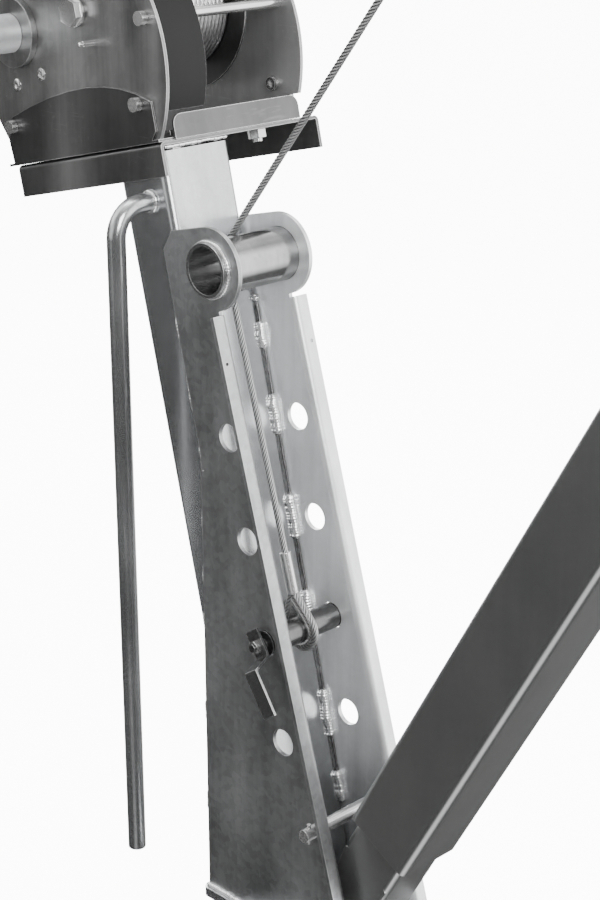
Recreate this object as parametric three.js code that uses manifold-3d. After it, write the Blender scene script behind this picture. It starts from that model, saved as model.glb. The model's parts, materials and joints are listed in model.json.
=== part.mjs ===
// A swivel crane with a hand winch: a leaning box mast between two cheek plates turns on a floor pedestal,
// carries a winch on its head, and holds a hinged jib by a stay cable that is pinned in a row of holes.
// Millimetres, +Z up, +X towards the jib. The origin is on the slewing axis, at the floor flange's underside.
import * as THREE from "three";
import { mergeVertices } from "three/addons/utils/BufferGeometryUtils.js";
import Module from "manifold-3d";

const wasm = await Module();
wasm.setup();
const rad = THREE.MathUtils.degToRad;

// ---- Driving dimensions ----
const GAP = 0.3; // between pieces that touch
const RUNNING = 0.3; // radial clearance of a pin or shaft in its hole

// mast
const MAST_LEAN = 13.5; // degrees, backwards
const GUIDE_HEIGHT = 960; // guide tube axis above the floor
const GUIDE_BACK = 90; // guide tube axis behind the slewing axis
const INSIDE_WIDTH = 100; // between the cheek plates
const CHEEK_THICK = 5;
const CHEEK_REAR = 20; // the lower rear edge, behind the guide axis
const CHEEK_OVERLAP = 19; // how far a cheek laps over the spine's side
const SPINE_DEPTH = 80;
const SPINE_FRONT = 51; // the spine's front face behind the guide axis, square to the lean
const SPINE_WALL = 4;
const SPINE_CORNER = 9;
const SPINE_TOP = 131; // above the guide axis, along the lean
const EAR_RADIUS = 46;
const FLANGE_LEAN = 16; // the cheeks' front edge
const FLANGE_FRONT = 8; // front face of the flange ahead of the guide axis, square to that edge
const FLANGE_WIDTH = 15; // how far it stands out from a cheek's outer face
const FLANGE_TOP = 50; // its upper end below the guide axis
const BEND = 8; // outside radius of a sheet bend
const GUIDE_RADIUS = 30.15;
const GUIDE_WALL = 4;
const GUIDE_PROUD = 7; // beyond each cheek
const DRAIN_RADIUS = 2.2;

// adjusting holes and pin
const HOLE_COUNT = 4;
const HOLE_PITCH = 117.2;
const HOLE_FIRST = 185; // first hole below the guide axis, along the lean
const HOLE_BACK = 16.7; // the row behind the guide axis, square to the lean
const HOLE_USED = 2; // the pin is in the third hole
const PIN_RADIUS = 15;
const PIN_CLEARANCE = 0.75;
const PIN_PROUD_LEFT = 2;
const PIN_PROUD_RIGHT = 14;
const NECK_RADIUS = 5;
const NECK_LENGTH = 10;
const TAB_THICK = 2.5;
const TAB_WIDTH = 21;
const TAB_ANGLE = -56; // the tab hangs forwards and down
const TAB_UPPER = 30;
const TAB_LOWER = 62;
const TAB_STEP = 24;

// stop rod across the cheeks
const ROD_RADIUS = 8;
const ROD_X = 161; // ahead of the guide axis
const ROD_DROP = 616; // below the guide axis
const ROD_PROUD = 20;

// turning handle
const HANDLE_RADIUS = 10.65;
const HANDLE_OUT = 50; // leg ahead of the spine's side face
const HANDLE_TOP = 58; // the stub above the guide axis
const HANDLE_BACK = 100; // the leg behind the guide axis
const HANDLE_BEND = 34;
const HANDLE_DROP = 729; // the leg's lower end below the guide axis

// pedestal and slewing bearing
const FLOOR_RADIUS = 160;
const FLOOR_THICK = 15;
const FLOOR_HOLES = 6;
const FLOOR_HOLE_RADIUS = 9;
const FLOOR_PCD = 270;
const POST_RADIUS = 84.15;
const POST_WALL = 6;
const RING_RADIUS = 110;
const RING_THICK = 12;
const WASHER_THICK = 3;
const FOOT_TOP = 192;
const FOOT_THICK = 12;
const FOOT_REAR = 26; // behind the guide axis
const FOOT_FRONT = 232; // ahead of it
const FOOT_CORNER = 10;
const TURNTABLE_RADIUS = 105;
const TURNTABLE_THICK = 14;
const SPIGOT_RADIUS = 44.45;
const SPIGOT_WALL = 8;
const BUSH_WALL = 6;
const BUSH_LENGTH = 30;

// jib
const JIB_ANGLE = 61; // degrees above level
const PIVOT_X = 177; // luffing pivot ahead of the guide axis
const PIVOT_DROP = 727; // below the guide axis
const PIVOT_RADIUS = 12;
const LUG_RADIUS = 30;
const LUG_THICK = 8;
const JIB_SIZE = 90;
const JIB_WALL = 4;
const JIB_START = 137; // from the pivot to the end of the outer tube
const JIB_END = 2290;
const ARM_SIZE = 75;
const ARM_END = 420;
const ARM_GAP = 4; // between the arm's cut end and the mast's front
const HEAD_LAP = 200; // how far the head plates lap over the tube
const HEAD_THICK = 8;
const ANCHOR_BACK = 50; // behind the tube's end
const ANCHOR_ABOVE = 250;
const ANCHOR_RADIUS = 8;
const SHEAVE_AHEAD = 110; // ahead of the tube's end
const SHEAVE_ABOVE = 70;
const SHEAVE_RADIUS = 85;
const SHEAVE_WIDTH = 24;
const SHEAVE_PIN_RADIUS = 12;

// stay cable
const CABLE_RADIUS = 4;
const THIMBLE_WALL = 3;
const THIMBLE_CLEARANCE = 1;
const EYE_RISE = 33; // from the pin to where the loop closes
const FERRULE_LENGTH = 48;
const FERRULE_RADIUS = 7;

// winch
const BRACKET_SHEET = 4;
const BRACKET_DROP = 37;
const BRACKET_TOP = 141; // above the guide axis
const BRACKET_LENGTH = 264;
const BRACKET_FRONT = 45; // behind the guide axis
const BRACKET_RIGHT = 186;
const WINCH_WIDTH = 204; // over the two side plates
const WINCH_LEFT = -52;
const SIDE_THICK = 4;
const CRADLE_SHEET = 3;
const CRADLE_LENGTH = 268;
const CRADLE_TONGUE = 16; // a narrow tail of its floor behind the bracket
const CRADLE_ARC = 68; // rise of the cradle's side flange
const LIP_HEIGHT = 27;
const LIP_CORNER = 12;
const DRUM_BACK = 150.7;
const DRUM_ABOVE = 296;
const DRUM_FLANGE_RADIUS = 102;
const DRUM_FLANGE_THICK = 3;
const DRUM_CORE_RADIUS = 45;
const DRUM_BORE_RADIUS = 14;
const DRUM_START = 16;
const DRUM_END = 111;
const WINDING_RADIUS = 76;
const AXLE_RADIUS = 12;
const GEAR_MODULE = 3.5;
const GEAR_TEETH = 54;
const PINION_TEETH = 12;
const GEAR_START = -22;
const GEAR_WIDTH = 20;
const PINION_DIRECTION = 183; // degrees from the drum axis to the crank shaft
const SHAFT_RADIUS = 10;
const HUB_RADIUS = 22;
const HUB_LENGTH = 62;
const BRAKE_RADIUS = 40;
const BRAKE_THICK = 8;
const CRANK_RADIUS = 250;
const CRANK_THICK = 8;
const CRANK_WIDTH = 30;
const GRIP_RADIUS = 15;
const GRIP_LENGTH = 115;
const RATCHET_TEETH = 12;
const RATCHET_RADIUS = 32;
const RATCHET_DEPTH = 6;
const RATCHET_START = 128;
const RATCHET_WIDTH = 8;
const TIE_RADIUS = 5.8;
const TIE_SCREW_RADIUS = 5;
const BOLT_RADIUS = 6;
const BOLT_HEX = 9.5; // half of the size across flats
const BOLT_SPREAD = 64.5; // the winch bolts on each side of the winch's middle
const COVER_SHEET = 2;
const COVER_START = -44;
const COVER_END = 12;

// ---- Sizes that follow ----
const OUTER = INSIDE_WIDTH / 2 + CHEEK_THICK; // outer face of a cheek
const GUIDE_X = -GUIDE_BACK;
const FOOT_DROP = GUIDE_HEIGHT - FOOT_TOP; // foot plate's top below the guide axis
const TURNTABLE_TOP = FOOT_TOP - FOOT_THICK - GAP;
const HEAD_START = JIB_END - HEAD_LAP;
const ANCHOR_ALONG = JIB_END - ANCHOR_BACK;
const SHEAVE_ALONG = JIB_END + SHEAVE_AHEAD;
const WINCH_RIGHT = WINCH_LEFT + WINCH_WIDTH;
const WINCH_MIDDLE = WINCH_LEFT + WINCH_WIDTH / 2;
const WINCH_BASE = BRACKET_TOP + GAP + CRADLE_SHEET; // upper face of the cradle's floor
const CENTRE_DISTANCE = (GEAR_MODULE * (GEAR_TEETH + PINION_TEETH)) / 2;
const CRANK_BACK = DRUM_BACK - CENTRE_DISTANCE * Math.cos(rad(PINION_DIRECTION));
const CRANK_ABOVE = DRUM_ABOVE + CENTRE_DISTANCE * Math.sin(rad(PINION_DIRECTION));
const PIN_DROP = HOLE_FIRST + HOLE_USED * HOLE_PITCH;

// ---- Finishes ----
function finish(color, roughness, metalness) {
  return new THREE.MeshStandardMaterial({ color, roughness, metalness });
}
const galvanised = finish(0xa9adb0, 0.42, 0.85);
const darkZinc = finish(0x6d7072, 0.5, 0.8);
const zincPlate = finish(0xb9bcbd, 0.3, 0.9);
const greyPaint = finish(0x3c3f42, 0.45, 0.2);
const ropeSteel = finish(0x8c8e90, 0.5, 0.85);
const castSteel = finish(0x777a7c, 0.45, 0.85);
const bronze = finish(0xa07a43, 0.45, 0.8);
const plastic = finish(0x1c1d1f, 0.6, 0);

// ---- Tools ----
// A closed three.js geometry as a solid that faces outwards.
function solid(geometry) {
  const bare = geometry.clone();
  bare.deleteAttribute("normal");
  bare.deleteAttribute("uv");
  const merged = mergeVertices(bare, 1e-4);
  const vertProperties = merged.attributes.position.array;
  const triVerts = new Uint32Array(merged.index.array);
  const made = new wasm.Manifold(new wasm.Mesh({ numProp: 3, vertProperties, triVerts }));
  if (made.volume() > 0) return made;
  for (let i = 0; i < triVerts.length; i += 3) {
    [triVerts[i], triVerts[i + 1]] = [triVerts[i + 1], triVerts[i]];
  }
  return new wasm.Manifold(new wasm.Mesh({ numProp: 3, vertProperties, triVerts }));
}

// A solid as a geometry again.
function geometryOf(body) {
  const mesh = body.getMesh();
  const geometry = new THREE.BufferGeometry();
  const place = new Float32Array(mesh.numVert * 3);
  for (let i = 0; i < mesh.numVert; i++) {
    const first = i * mesh.numProp;
    place.set(mesh.vertProperties.subarray(first, first + 3), i * 3);
  }
  geometry.setAttribute("position", new THREE.BufferAttribute(place, 3));
  geometry.setIndex(new THREE.BufferAttribute(new Uint32Array(mesh.triVerts), 1));
  return geometry.toNonIndexed();
}

function piece(group, name, body, material) {
  const geometry = geometryOf(body);
  geometry.computeVertexNormals();
  const mesh = new THREE.Mesh(geometry, material.clone());
  mesh.name = name;
  group.add(mesh);
  return mesh;
}

const joined = (...bodies) => bodies.reduce((sum, body) => sum.add(body));
const cut = (body, ...tools) => tools.reduce((rest, tool) => rest.subtract(tool), body);

function box(x0, x1, y0, y1, z0, z1) {
  const geometry = new THREE.BoxGeometry(x1 - x0, y1 - y0, z1 - z0);
  return solid(geometry.translate((x0 + x1) / 2, (y0 + y1) / 2, (z0 + z1) / 2));
}

// A round bar along Y from y0 to y1, its axis at x, z.
function barY(radius, y0, y1, x = 0, z = 0, sides = 28) {
  const geometry = new THREE.CylinderGeometry(radius, radius, y1 - y0, sides);
  return solid(geometry.translate(x, (y0 + y1) / 2, z));
}

// A hexagon along Y; half is half of its size across flats.
const hexY = (half, y0, y1, x = 0, z = 0) => barY(half / Math.cos(rad(30)), y0, y1, x, z, 6);

function barZ(radius, z0, z1, x = 0, y = 0, sides = 40) {
  const geometry = new THREE.CylinderGeometry(radius, radius, z1 - z0, sides).rotateX(Math.PI / 2);
  return solid(geometry.translate(x, y, (z0 + z1) / 2));
}

const hexZ = (half, z0, z1, x = 0, y = 0) => barZ(half / Math.cos(rad(30)), z0, z1, x, y, 6);
const tubeY = (outside, inside, y0, y1, x = 0, z = 0, sides = 32) =>
  cut(barY(outside, y0, y1, x, z, sides), barY(inside, y0 - 1, y1 + 1, x, z, sides));
const tubeZ = (outside, inside, z0, z1, sides = 36) =>
  cut(barZ(outside, z0, z1, 0, 0, sides), barZ(inside, z0 - 1, z1 + 1, 0, 0, sides));

// A shape drawn in X and Z, made solid from y0 to y1.
function plateXZ(shape, y0, y1, curveSegments = 5) {
  const geometry = new THREE.ExtrudeGeometry(shape, { depth: y1 - y0, bevelEnabled: false, curveSegments });
  return solid(geometry.rotateX(Math.PI / 2).translate(0, y1, 0));
}

// A shape drawn in Y and Z, made solid from x0 to x1.
function plateYZ(shape, x0, x1, curveSegments = 3) {
  const geometry = new THREE.ExtrudeGeometry(shape, { depth: x1 - x0, bevelEnabled: false, curveSegments });
  const turn = new THREE.Matrix4().makeBasis(
    new THREE.Vector3(0, 1, 0),
    new THREE.Vector3(0, 0, 1),
    new THREE.Vector3(1, 0, 0),
  );
  return solid(geometry.applyMatrix4(turn).translate(x0, 0, 0));
}

function plateXY(shape, z0, z1, curveSegments = 4) {
  const geometry = new THREE.ExtrudeGeometry(shape, { depth: z1 - z0, bevelEnabled: false, curveSegments });
  return solid(geometry.translate(0, 0, z0));
}

// A closed outline through corners, each with its own radius: [x, z, radius].
function roundedShape(corners) {
  const shape = new THREE.Shape();
  corners.forEach(([x, z, radius = 0], i) => {
    const here = new THREE.Vector2(x, z);
    const before = new THREE.Vector2(...corners.at(i - 1).slice(0, 2)).sub(here).normalize();
    const after = new THREE.Vector2(...corners[(i + 1) % corners.length].slice(0, 2)).sub(here).normalize();
    const half = Math.acos(THREE.MathUtils.clamp(before.dot(after), -1, 1)) / 2;
    const reach = radius / Math.tan(half);
    const enter = here.clone().addScaledVector(before, reach);
    const leave = here.clone().addScaledVector(after, reach);
    if (i === 0) shape.moveTo(enter.x, enter.y);
    else shape.lineTo(enter.x, enter.y);
    if (radius === 0) return;
    const inwards = before.clone().add(after).normalize();
    const middle = here.clone().addScaledVector(inwards, radius / Math.sin(half));
    const start = Math.atan2(enter.y - middle.y, enter.x - middle.x);
    const end = Math.atan2(leave.y - middle.y, leave.x - middle.x);
    const clockwise = before.x * after.y - before.y * after.x > 0;
    shape.absarc(middle.x, middle.y, radius, start, end, clockwise);
  });
  shape.closePath();
  return shape;
}

const roundedRectangle = (x0, x1, z0, z1, radius) =>
  roundedShape([[x0, z0, radius], [x1, z0, radius], [x1, z1, radius], [x0, z1, radius]]);

// A route with one section at each of its points.
class Route extends THREE.Curve {
  constructor(points) {
    super();
    this.points = points;
  }
  getPoint(t, target = new THREE.Vector3()) {
    const place = THREE.MathUtils.clamp(t, 0, 1) * (this.points.length - 1);
    const first = Math.min(Math.floor(place), this.points.length - 2);
    return target.lerpVectors(this.points[first], this.points[first + 1], place - first);
  }
  getPointAt(t, target) {
    return this.getPoint(t, target);
  }
  getTangentAt(t, target) {
    return this.getTangent(t, target);
  }
}

function swept(points, radius, sides) {
  const section = new THREE.Shape(
    Array.from({ length: sides }, (_, i) => {
      const angle = (2 * Math.PI * i) / sides;
      return new THREE.Vector2(radius * Math.cos(angle), radius * Math.sin(angle));
    }),
  );
  const extrudePath = new Route(points);
  return solid(new THREE.ExtrudeGeometry(section, { extrudePath, steps: points.length - 1 }));
}

// Points on an arc in the XZ plane, angles in degrees.
const arcPoints = (x, z, radius, from, to, steps) =>
  Array.from({ length: steps + 1 }, (_, i) => {
    const angle = rad(from + ((to - from) * i) / steps);
    return new THREE.Vector3(x + radius * Math.cos(angle), 0, z + radius * Math.sin(angle));
  });

// ---- Frames ----
const crane = new THREE.Group();
const upright = new THREE.Group(); // at the guide tube's axis
upright.position.set(GUIDE_X, 0, GUIDE_HEIGHT);
const mast = new THREE.Group(); // the same place, leaning: X square to the spine, Z up along it
mast.position.copy(upright.position);
mast.rotation.y = -rad(MAST_LEAN);
const jib = new THREE.Group(); // at the luffing pivot: X along the jib, Z square to it
jib.position.set(GUIDE_X + PIVOT_X, 0, GUIDE_HEIGHT - PIVOT_DROP);
jib.rotation.y = -rad(JIB_ANGLE);
crane.add(upright, mast, jib);
for (const group of [upright, mast, jib]) group.updateMatrixWorld(true);

// A body made in one frame, expressed in another.
function moved(body, from, to) {
  const matrix = to.matrixWorld.clone().invert().multiply(from.matrixWorld);
  return body.transform(matrix.toArray());
}
const pointIn = (x, z, from, to) => to.worldToLocal(from.localToWorld(new THREE.Vector3(x, 0, z)));

// ---- Pedestal and slewing bearing ----
const RING_TOP = TURNTABLE_TOP - TURNTABLE_THICK - WASHER_THICK - 2 * GAP;
const POST_TOP = RING_TOP - RING_THICK - GAP;
const BUSH_OUTER = SPIGOT_RADIUS + RUNNING + BUSH_WALL;

function floorFlange() {
  const holes = Array.from({ length: FLOOR_HOLES }, (_, i) => {
    const angle = rad(30 + (360 * i) / FLOOR_HOLES);
    const x = (FLOOR_PCD / 2) * Math.cos(angle);
    const y = (FLOOR_PCD / 2) * Math.sin(angle);
    return barZ(FLOOR_HOLE_RADIUS, -1, FLOOR_THICK + 1, x, y, 12);
  });
  return cut(barZ(FLOOR_RADIUS, 0, FLOOR_THICK, 0, 0, 44), ...holes);
}

piece(crane, "floor_flange", floorFlange(), galvanised);
piece(
  crane,
  "pedestal_tube",
  tubeZ(POST_RADIUS, POST_RADIUS - POST_WALL, FLOOR_THICK + GAP, POST_TOP),
  galvanised,
);
piece(
  crane,
  "bearing_ring",
  tubeZ(RING_RADIUS, BUSH_OUTER + GAP, RING_TOP - RING_THICK, RING_TOP),
  galvanised,
);
// The upper bush has a flange that the turntable rests on.
const upperBush = joined(
  tubeZ(BUSH_OUTER, SPIGOT_RADIUS + RUNNING, RING_TOP - BUSH_LENGTH, RING_TOP + GAP + WASHER_THICK),
  tubeZ(RING_RADIUS - 10, SPIGOT_RADIUS + RUNNING, RING_TOP + GAP, RING_TOP + GAP + WASHER_THICK),
);
piece(crane, "upper_slew_bush", upperBush, bronze);
const LOWER_BUSH = FLOOR_THICK + 12;
const lowerBush = joined(
  tubeZ(BUSH_OUTER, SPIGOT_RADIUS + RUNNING, LOWER_BUSH, LOWER_BUSH + BUSH_LENGTH),
  tubeZ(POST_RADIUS - POST_WALL - GAP, BUSH_OUTER - 1, LOWER_BUSH, LOWER_BUSH + 10),
);
piece(crane, "lower_slew_bush", lowerBush, bronze);

const footOutline = roundedRectangle(
  GUIDE_X - FOOT_REAR,
  GUIDE_X + FOOT_FRONT,
  -OUTER - GUIDE_PROUD,
  OUTER + GUIDE_PROUD,
  FOOT_CORNER,
);
piece(crane, "foot_plate", plateXY(footOutline, FOOT_TOP - FOOT_THICK, FOOT_TOP), galvanised);
piece(
  crane,
  "turntable_disc",
  barZ(TURNTABLE_RADIUS, TURNTABLE_TOP - TURNTABLE_THICK, TURNTABLE_TOP, 0, 0, 48),
  galvanised,
);
piece(
  crane,
  "slew_spigot",
  tubeZ(SPIGOT_RADIUS, SPIGOT_RADIUS - SPIGOT_WALL, LOWER_BUSH - 6, TURNTABLE_TOP - TURNTABLE_THICK - GAP),
  castSteel,
);

// ---- Mast ----
const SPINE_REAR = SPINE_FRONT + SPINE_DEPTH;
const FAR = 1200; // longer than the mast
const aboveFoot = box(-FAR, FAR, -FAR, FAR, -FOOT_DROP + GAP, FAR); // in the upright frame

function spineTube() {
  const half = INSIDE_WIDTH / 2 - GAP;
  const outside = roundedRectangle(-SPINE_REAR, -SPINE_FRONT, -half, half, SPINE_CORNER);
  const inner = half - SPINE_WALL;
  const hollow = roundedRectangle(
    -SPINE_REAR + SPINE_WALL,
    -SPINE_FRONT - SPINE_WALL,
    -inner,
    inner,
    SPINE_CORNER - SPINE_WALL,
  );
  const tube = cut(plateXY(outside, -FAR, SPINE_TOP), plateXY(hollow, -FAR - 1, SPINE_TOP + 1));
  return tube.intersect(moved(aboveFoot, upright, mast));
}
piece(mast, "spine_tube", spineTube(), galvanised);

// The flange's own frame leans with the cheeks' front edge: X ahead of the guide axis, Z up along the edge.
const edge = new THREE.Group();
edge.position.copy(upright.position);
edge.rotation.y = -rad(FLANGE_LEAN);
edge.updateMatrixWorld(true);
const BEND_START = FLANGE_FRONT - BEND;

function cheekOutline() {
  const shape = new THREE.Shape();
  const rear = -SPINE_FRONT - CHEEK_OVERLAP;
  const at = (x, z, frame) => pointIn(x, z, frame, upright);
  const top = at(-SPINE_FRONT, EAR_RADIUS, mast);
  const shoulder = at(rear, EAR_RADIUS - CHEEK_OVERLAP, mast);
  // where the overlapping rear edge meets the vertical one
  const kneeUp = (CHEEK_REAR + rear * Math.cos(rad(MAST_LEAN))) / Math.sin(rad(MAST_LEAN));
  const knee = at(rear, kneeUp, mast);
  const front = at(BEND_START + 1, -FLANGE_TOP, edge);
  const slope = Math.tan(rad(FLANGE_LEAN));
  const toe = front.x + slope * (FOOT_DROP + front.z);
  const earEnd = Math.atan2(-EAR_RADIUS, front.x);
  shape.moveTo(shoulder.x, shoulder.z);
  shape.lineTo(knee.x, knee.z);
  shape.lineTo(knee.x, -FOOT_DROP + GAP);
  shape.lineTo(toe - slope * GAP, -FOOT_DROP + GAP);
  shape.lineTo(front.x, front.z);
  shape.absarc(0, 0, EAR_RADIUS, earEnd, rad(90 + MAST_LEAN), false);
  shape.lineTo(top.x, top.z);
  shape.closePath();
  return shape;
}

// A cheek plate on one side: side is -1 for the left one, +1 for the right one.
function cheekPlate(side) {
  const inner = INSIDE_WIDTH / 2;
  const span = (a, b) => (side > 0 ? [a, b] : [-b, -a]);
  const flat = plateXZ(cheekOutline(), ...span(inner, OUTER), 12);
  const tip = OUTER + FLANGE_WIDTH;
  const face = FLANGE_FRONT;
  const section = new THREE.Shape();
  section.moveTo(BEND_START, side * inner);
  section.lineTo(BEND_START, side * OUTER);
  section.absarc(BEND_START, side * (inner + BEND), BEND - CHEEK_THICK, rad(-90 * side), 0, side < 0);
  section.lineTo(face - CHEEK_THICK, side * tip);
  section.lineTo(face, side * tip);
  section.lineTo(face, side * (inner + BEND));
  section.absarc(BEND_START, side * (inner + BEND), BEND, 0, rad(-90 * side), side > 0);
  const flange = moved(plateXY(section, -FAR, -FLANGE_TOP, 3), edge, upright).intersect(aboveFoot);
  const drain = new THREE.CylinderGeometry(DRAIN_RADIUS, DRAIN_RADIUS, 30, 10).rotateZ(Math.PI / 2);
  const drainHole = moved(solid(drain.translate(face, side * (tip - 6), -FLANGE_TOP - 52)), edge, upright);
  const holes = Array.from({ length: HOLE_COUNT }, (_, i) => {
    const place = pointIn(-HOLE_BACK, -HOLE_FIRST - i * HOLE_PITCH, mast, upright);
    return barY(PIN_RADIUS + PIN_CLEARANCE, -OUTER - 1, OUTER + 1, place.x, place.z, 28);
  });
  return cut(
    joined(flat, flange),
    drainHole,
    barY(GUIDE_RADIUS + GAP, -OUTER - 1, OUTER + 1, 0, 0, 36),
    barY(ROD_RADIUS + RUNNING, -OUTER - 1, OUTER + 1, ROD_X, -ROD_DROP, 20),
    barY(PIVOT_RADIUS + RUNNING, -OUTER - 1, OUTER + 1, PIVOT_X, -PIVOT_DROP, 24),
    ...holes,
  );
}
piece(upright, "cheek_plate_left", cheekPlate(-1), galvanised);
piece(upright, "cheek_plate_right", cheekPlate(1), galvanised);

const guideEnd = OUTER + GUIDE_PROUD;
const guideTube = tubeY(GUIDE_RADIUS, GUIDE_RADIUS - GUIDE_WALL, -guideEnd, guideEnd, 0, 0, 36);
piece(upright, "guide_tube", guideTube, galvanised);

const rodEnd = OUTER + ROD_PROUD;
const rodPinHole = OUTER + ROD_PROUD - 9;
const rollPinHole = barZ(2.5 + RUNNING, -ROD_DROP - 20, -ROD_DROP + 20, ROD_X, -rodPinHole, 12);
const stopRod = cut(barY(ROD_RADIUS, -rodEnd, rodEnd - ROD_PROUD + 3, ROD_X, -ROD_DROP, 24), rollPinHole);
piece(upright, "stop_rod", stopRod, zincPlate);
const rollPin = barZ(2.5, -ROD_DROP - ROD_RADIUS - 4, -ROD_DROP + ROD_RADIUS + 4, ROD_X, -rodPinHole, 12);
piece(upright, "stop_rod_roll_pin", rollPin, zincPlate);

// The turning handle leaves the spine's left side, bends and hangs straight down.
function turningHandle() {
  const y = -INSIDE_WIDTH / 2 - HANDLE_OUT;
  const start = new THREE.Vector3(-HANDLE_BACK, -INSIDE_WIDTH / 2 - GAP, HANDLE_TOP);
  const bend = Array.from({ length: 9 }, (_, i) => {
    const angle = rad((90 * i) / 8);
    const across = y + HANDLE_BEND - HANDLE_BEND * Math.sin(angle);
    return new THREE.Vector3(-HANDLE_BACK, across, HANDLE_TOP - HANDLE_BEND * (1 - Math.cos(angle)));
  });
  return swept([start, ...bend, new THREE.Vector3(-HANDLE_BACK, y, -HANDLE_DROP)], HANDLE_RADIUS, 16);
}
piece(upright, "turning_handle", turningHandle(), galvanised);

// ---- Adjusting pin ----
const pinAt = pointIn(-HOLE_BACK, -PIN_DROP, mast, upright);
const pinLeft = -OUTER - PIN_PROUD_LEFT;
const pinRight = OUTER + PIN_PROUD_RIGHT;
const pinBody = joined(
  barY(PIN_RADIUS, pinLeft, pinRight, pinAt.x, pinAt.z, 28),
  barY(NECK_RADIUS, pinLeft - NECK_LENGTH - 9, pinLeft + 1, pinAt.x, pinAt.z, 16),
);
piece(upright, "adjusting_pin", pinBody, darkZinc);

// The pin's pull tab is a strip folded twice, held on the neck by a nut.
const tabFace = pinLeft - NECK_LENGTH; // outer face of the upper leg
function pullTab() {
  const t = TAB_THICK;
  const step = TAB_STEP;
  const upper = TAB_UPPER / 2;
  const end = -upper - TAB_LOWER;
  const corners = [
    [tabFace + t, upper + 4],
    [tabFace + t, -upper, 1.5],
    [tabFace + t - step, -upper - 10, 1.5],
    [tabFace + t - step, end],
    [tabFace - step, end],
    [tabFace - step, -upper - 8, 3],
    [tabFace, -upper + 2, 3],
    [tabFace, upper + 4],
  ];
  const strip = plateYZ(roundedShape(corners.reverse()), -TAB_WIDTH / 2, TAB_WIDTH / 2, 3);
  const holed = cut(strip, barY(NECK_RADIUS + RUNNING, tabFace - 3, tabFace + t + 3, 0, 0, 16));
  const swing = new THREE.Matrix4().makeRotationY(-rad(TAB_ANGLE + 90));
  swing.setPosition(pinAt.x, 0, pinAt.z);
  return holed.transform(swing.toArray());
}
piece(upright, "pull_tab", pullTab(), zincPlate);
const tabNut = cut(
  hexY(7, tabFace - 6.5 - GAP, tabFace - GAP, pinAt.x, pinAt.z),
  barY(NECK_RADIUS + GAP, tabFace - 10, tabFace + 1, pinAt.x, pinAt.z, 16),
);
piece(upright, "tab_nut", tabNut, zincPlate);

// ---- Stay cable ----
const WRAP = GUIDE_RADIUS + CABLE_RADIUS + GAP; // cable centre round the guide tube
const anchor = pointIn(ANCHOR_ALONG, ANCHOR_ABOVE, jib, upright);

// The angle, seen from the guide axis, where a straight run from a point touches the wrap.
// turn is +1 when the touching point lies anticlockwise of the point, -1 when clockwise.
function touchAngle(x, z, turn) {
  const away = Math.hypot(x, z);
  return THREE.MathUtils.radToDeg(Math.atan2(z, x) + turn * Math.acos(WRAP / away));
}
const lowerTouch = touchAngle(pinAt.x, pinAt.z, -1) + 360;
const upperTouch = touchAngle(anchor.x, anchor.z, 1);
const arc = arcPoints(0, 0, WRAP, lowerTouch, upperTouch, 10);
const lowerWay = arc[0].clone().sub(pinAt).normalize(); // from the pin up to the guide
const upperWay = arc.at(-1).clone().sub(anchor).normalize(); // from the anchor down to the guide

// An eye at a pin: thimble, loop and ferrule, where way points from the pin along the cable.
function tearDrop(radius, apex) {
  const shape = new THREE.Shape();
  const open = Math.acos(radius / apex);
  shape.moveTo(0, apex);
  shape.lineTo(-radius * Math.sin(open), radius * Math.cos(open));
  shape.absarc(0, 0, radius, Math.PI / 2 + open, Math.PI / 2 - open + 2 * Math.PI, false);
  shape.closePath();
  return shape;
}
function eye(group, suffix, centre, way, pinRadius) {
  const turn = new THREE.Matrix4().makeRotationY(Math.atan2(way.x, way.z));
  turn.setPosition(centre.x, 0, centre.z);
  const put = (body) => moved(body.transform(turn.toArray()), upright, group);
  const inside = pinRadius + THIMBLE_CLEARANCE;
  const middle = inside + THIMBLE_WALL;
  const outside = middle + 2 * CABLE_RADIUS;
  const rise = EYE_RISE + pinRadius - PIN_RADIUS;
  const half = CABLE_RADIUS + 1.5;
  const thimble = cut(
    plateXZ(tearDrop(middle, rise + 4), -half, half),
    plateXZ(tearDrop(inside, rise - 5), -half - 1, half + 1),
  );
  const loop = cut(
    plateXZ(tearDrop(outside, rise + 14), -CABLE_RADIUS, CABLE_RADIUS),
    plateXZ(tearDrop(middle + GAP, rise + 4.5), -CABLE_RADIUS - 1, CABLE_RADIUS + 1),
    box(-40, 40, -40, 40, rise + 8, rise + 60),
  );
  const start = rise + 8 + GAP;
  const ferrule = barZ(FERRULE_RADIUS, start, start + FERRULE_LENGTH, 0, 0, 20);
  piece(group, "stay_thimble_" + suffix, put(thimble), zincPlate);
  piece(group, "stay_loop_" + suffix, put(loop), ropeSteel);
  piece(group, "stay_ferrule_" + suffix, put(ferrule), zincPlate);
  return centre.clone().addScaledVector(way, start + FERRULE_LENGTH + GAP);
}
const cableLow = eye(upright, "lower", pinAt, lowerWay, PIN_RADIUS);
const cableHigh = eye(jib, "upper", anchor, upperWay, ANCHOR_RADIUS);
piece(upright, "stay_cable", swept([cableLow, ...arc, cableHigh], CABLE_RADIUS, 10), ropeSteel);

// ---- Jib ----
const headHalf = JIB_SIZE / 2 + GAP;
function jibOuter() {
  const half = JIB_SIZE / 2;
  const inner = half - JIB_WALL;
  const outside = plateYZ(roundedRectangle(-half, half, -half, half, 8), JIB_START, JIB_END);
  return cut(outside, plateYZ(roundedRectangle(-inner, inner, -inner, inner, 4), JIB_START - 1, JIB_END + 1));
}
piece(jib, "jib_outer_tube", jibOuter(), darkZinc);

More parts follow.
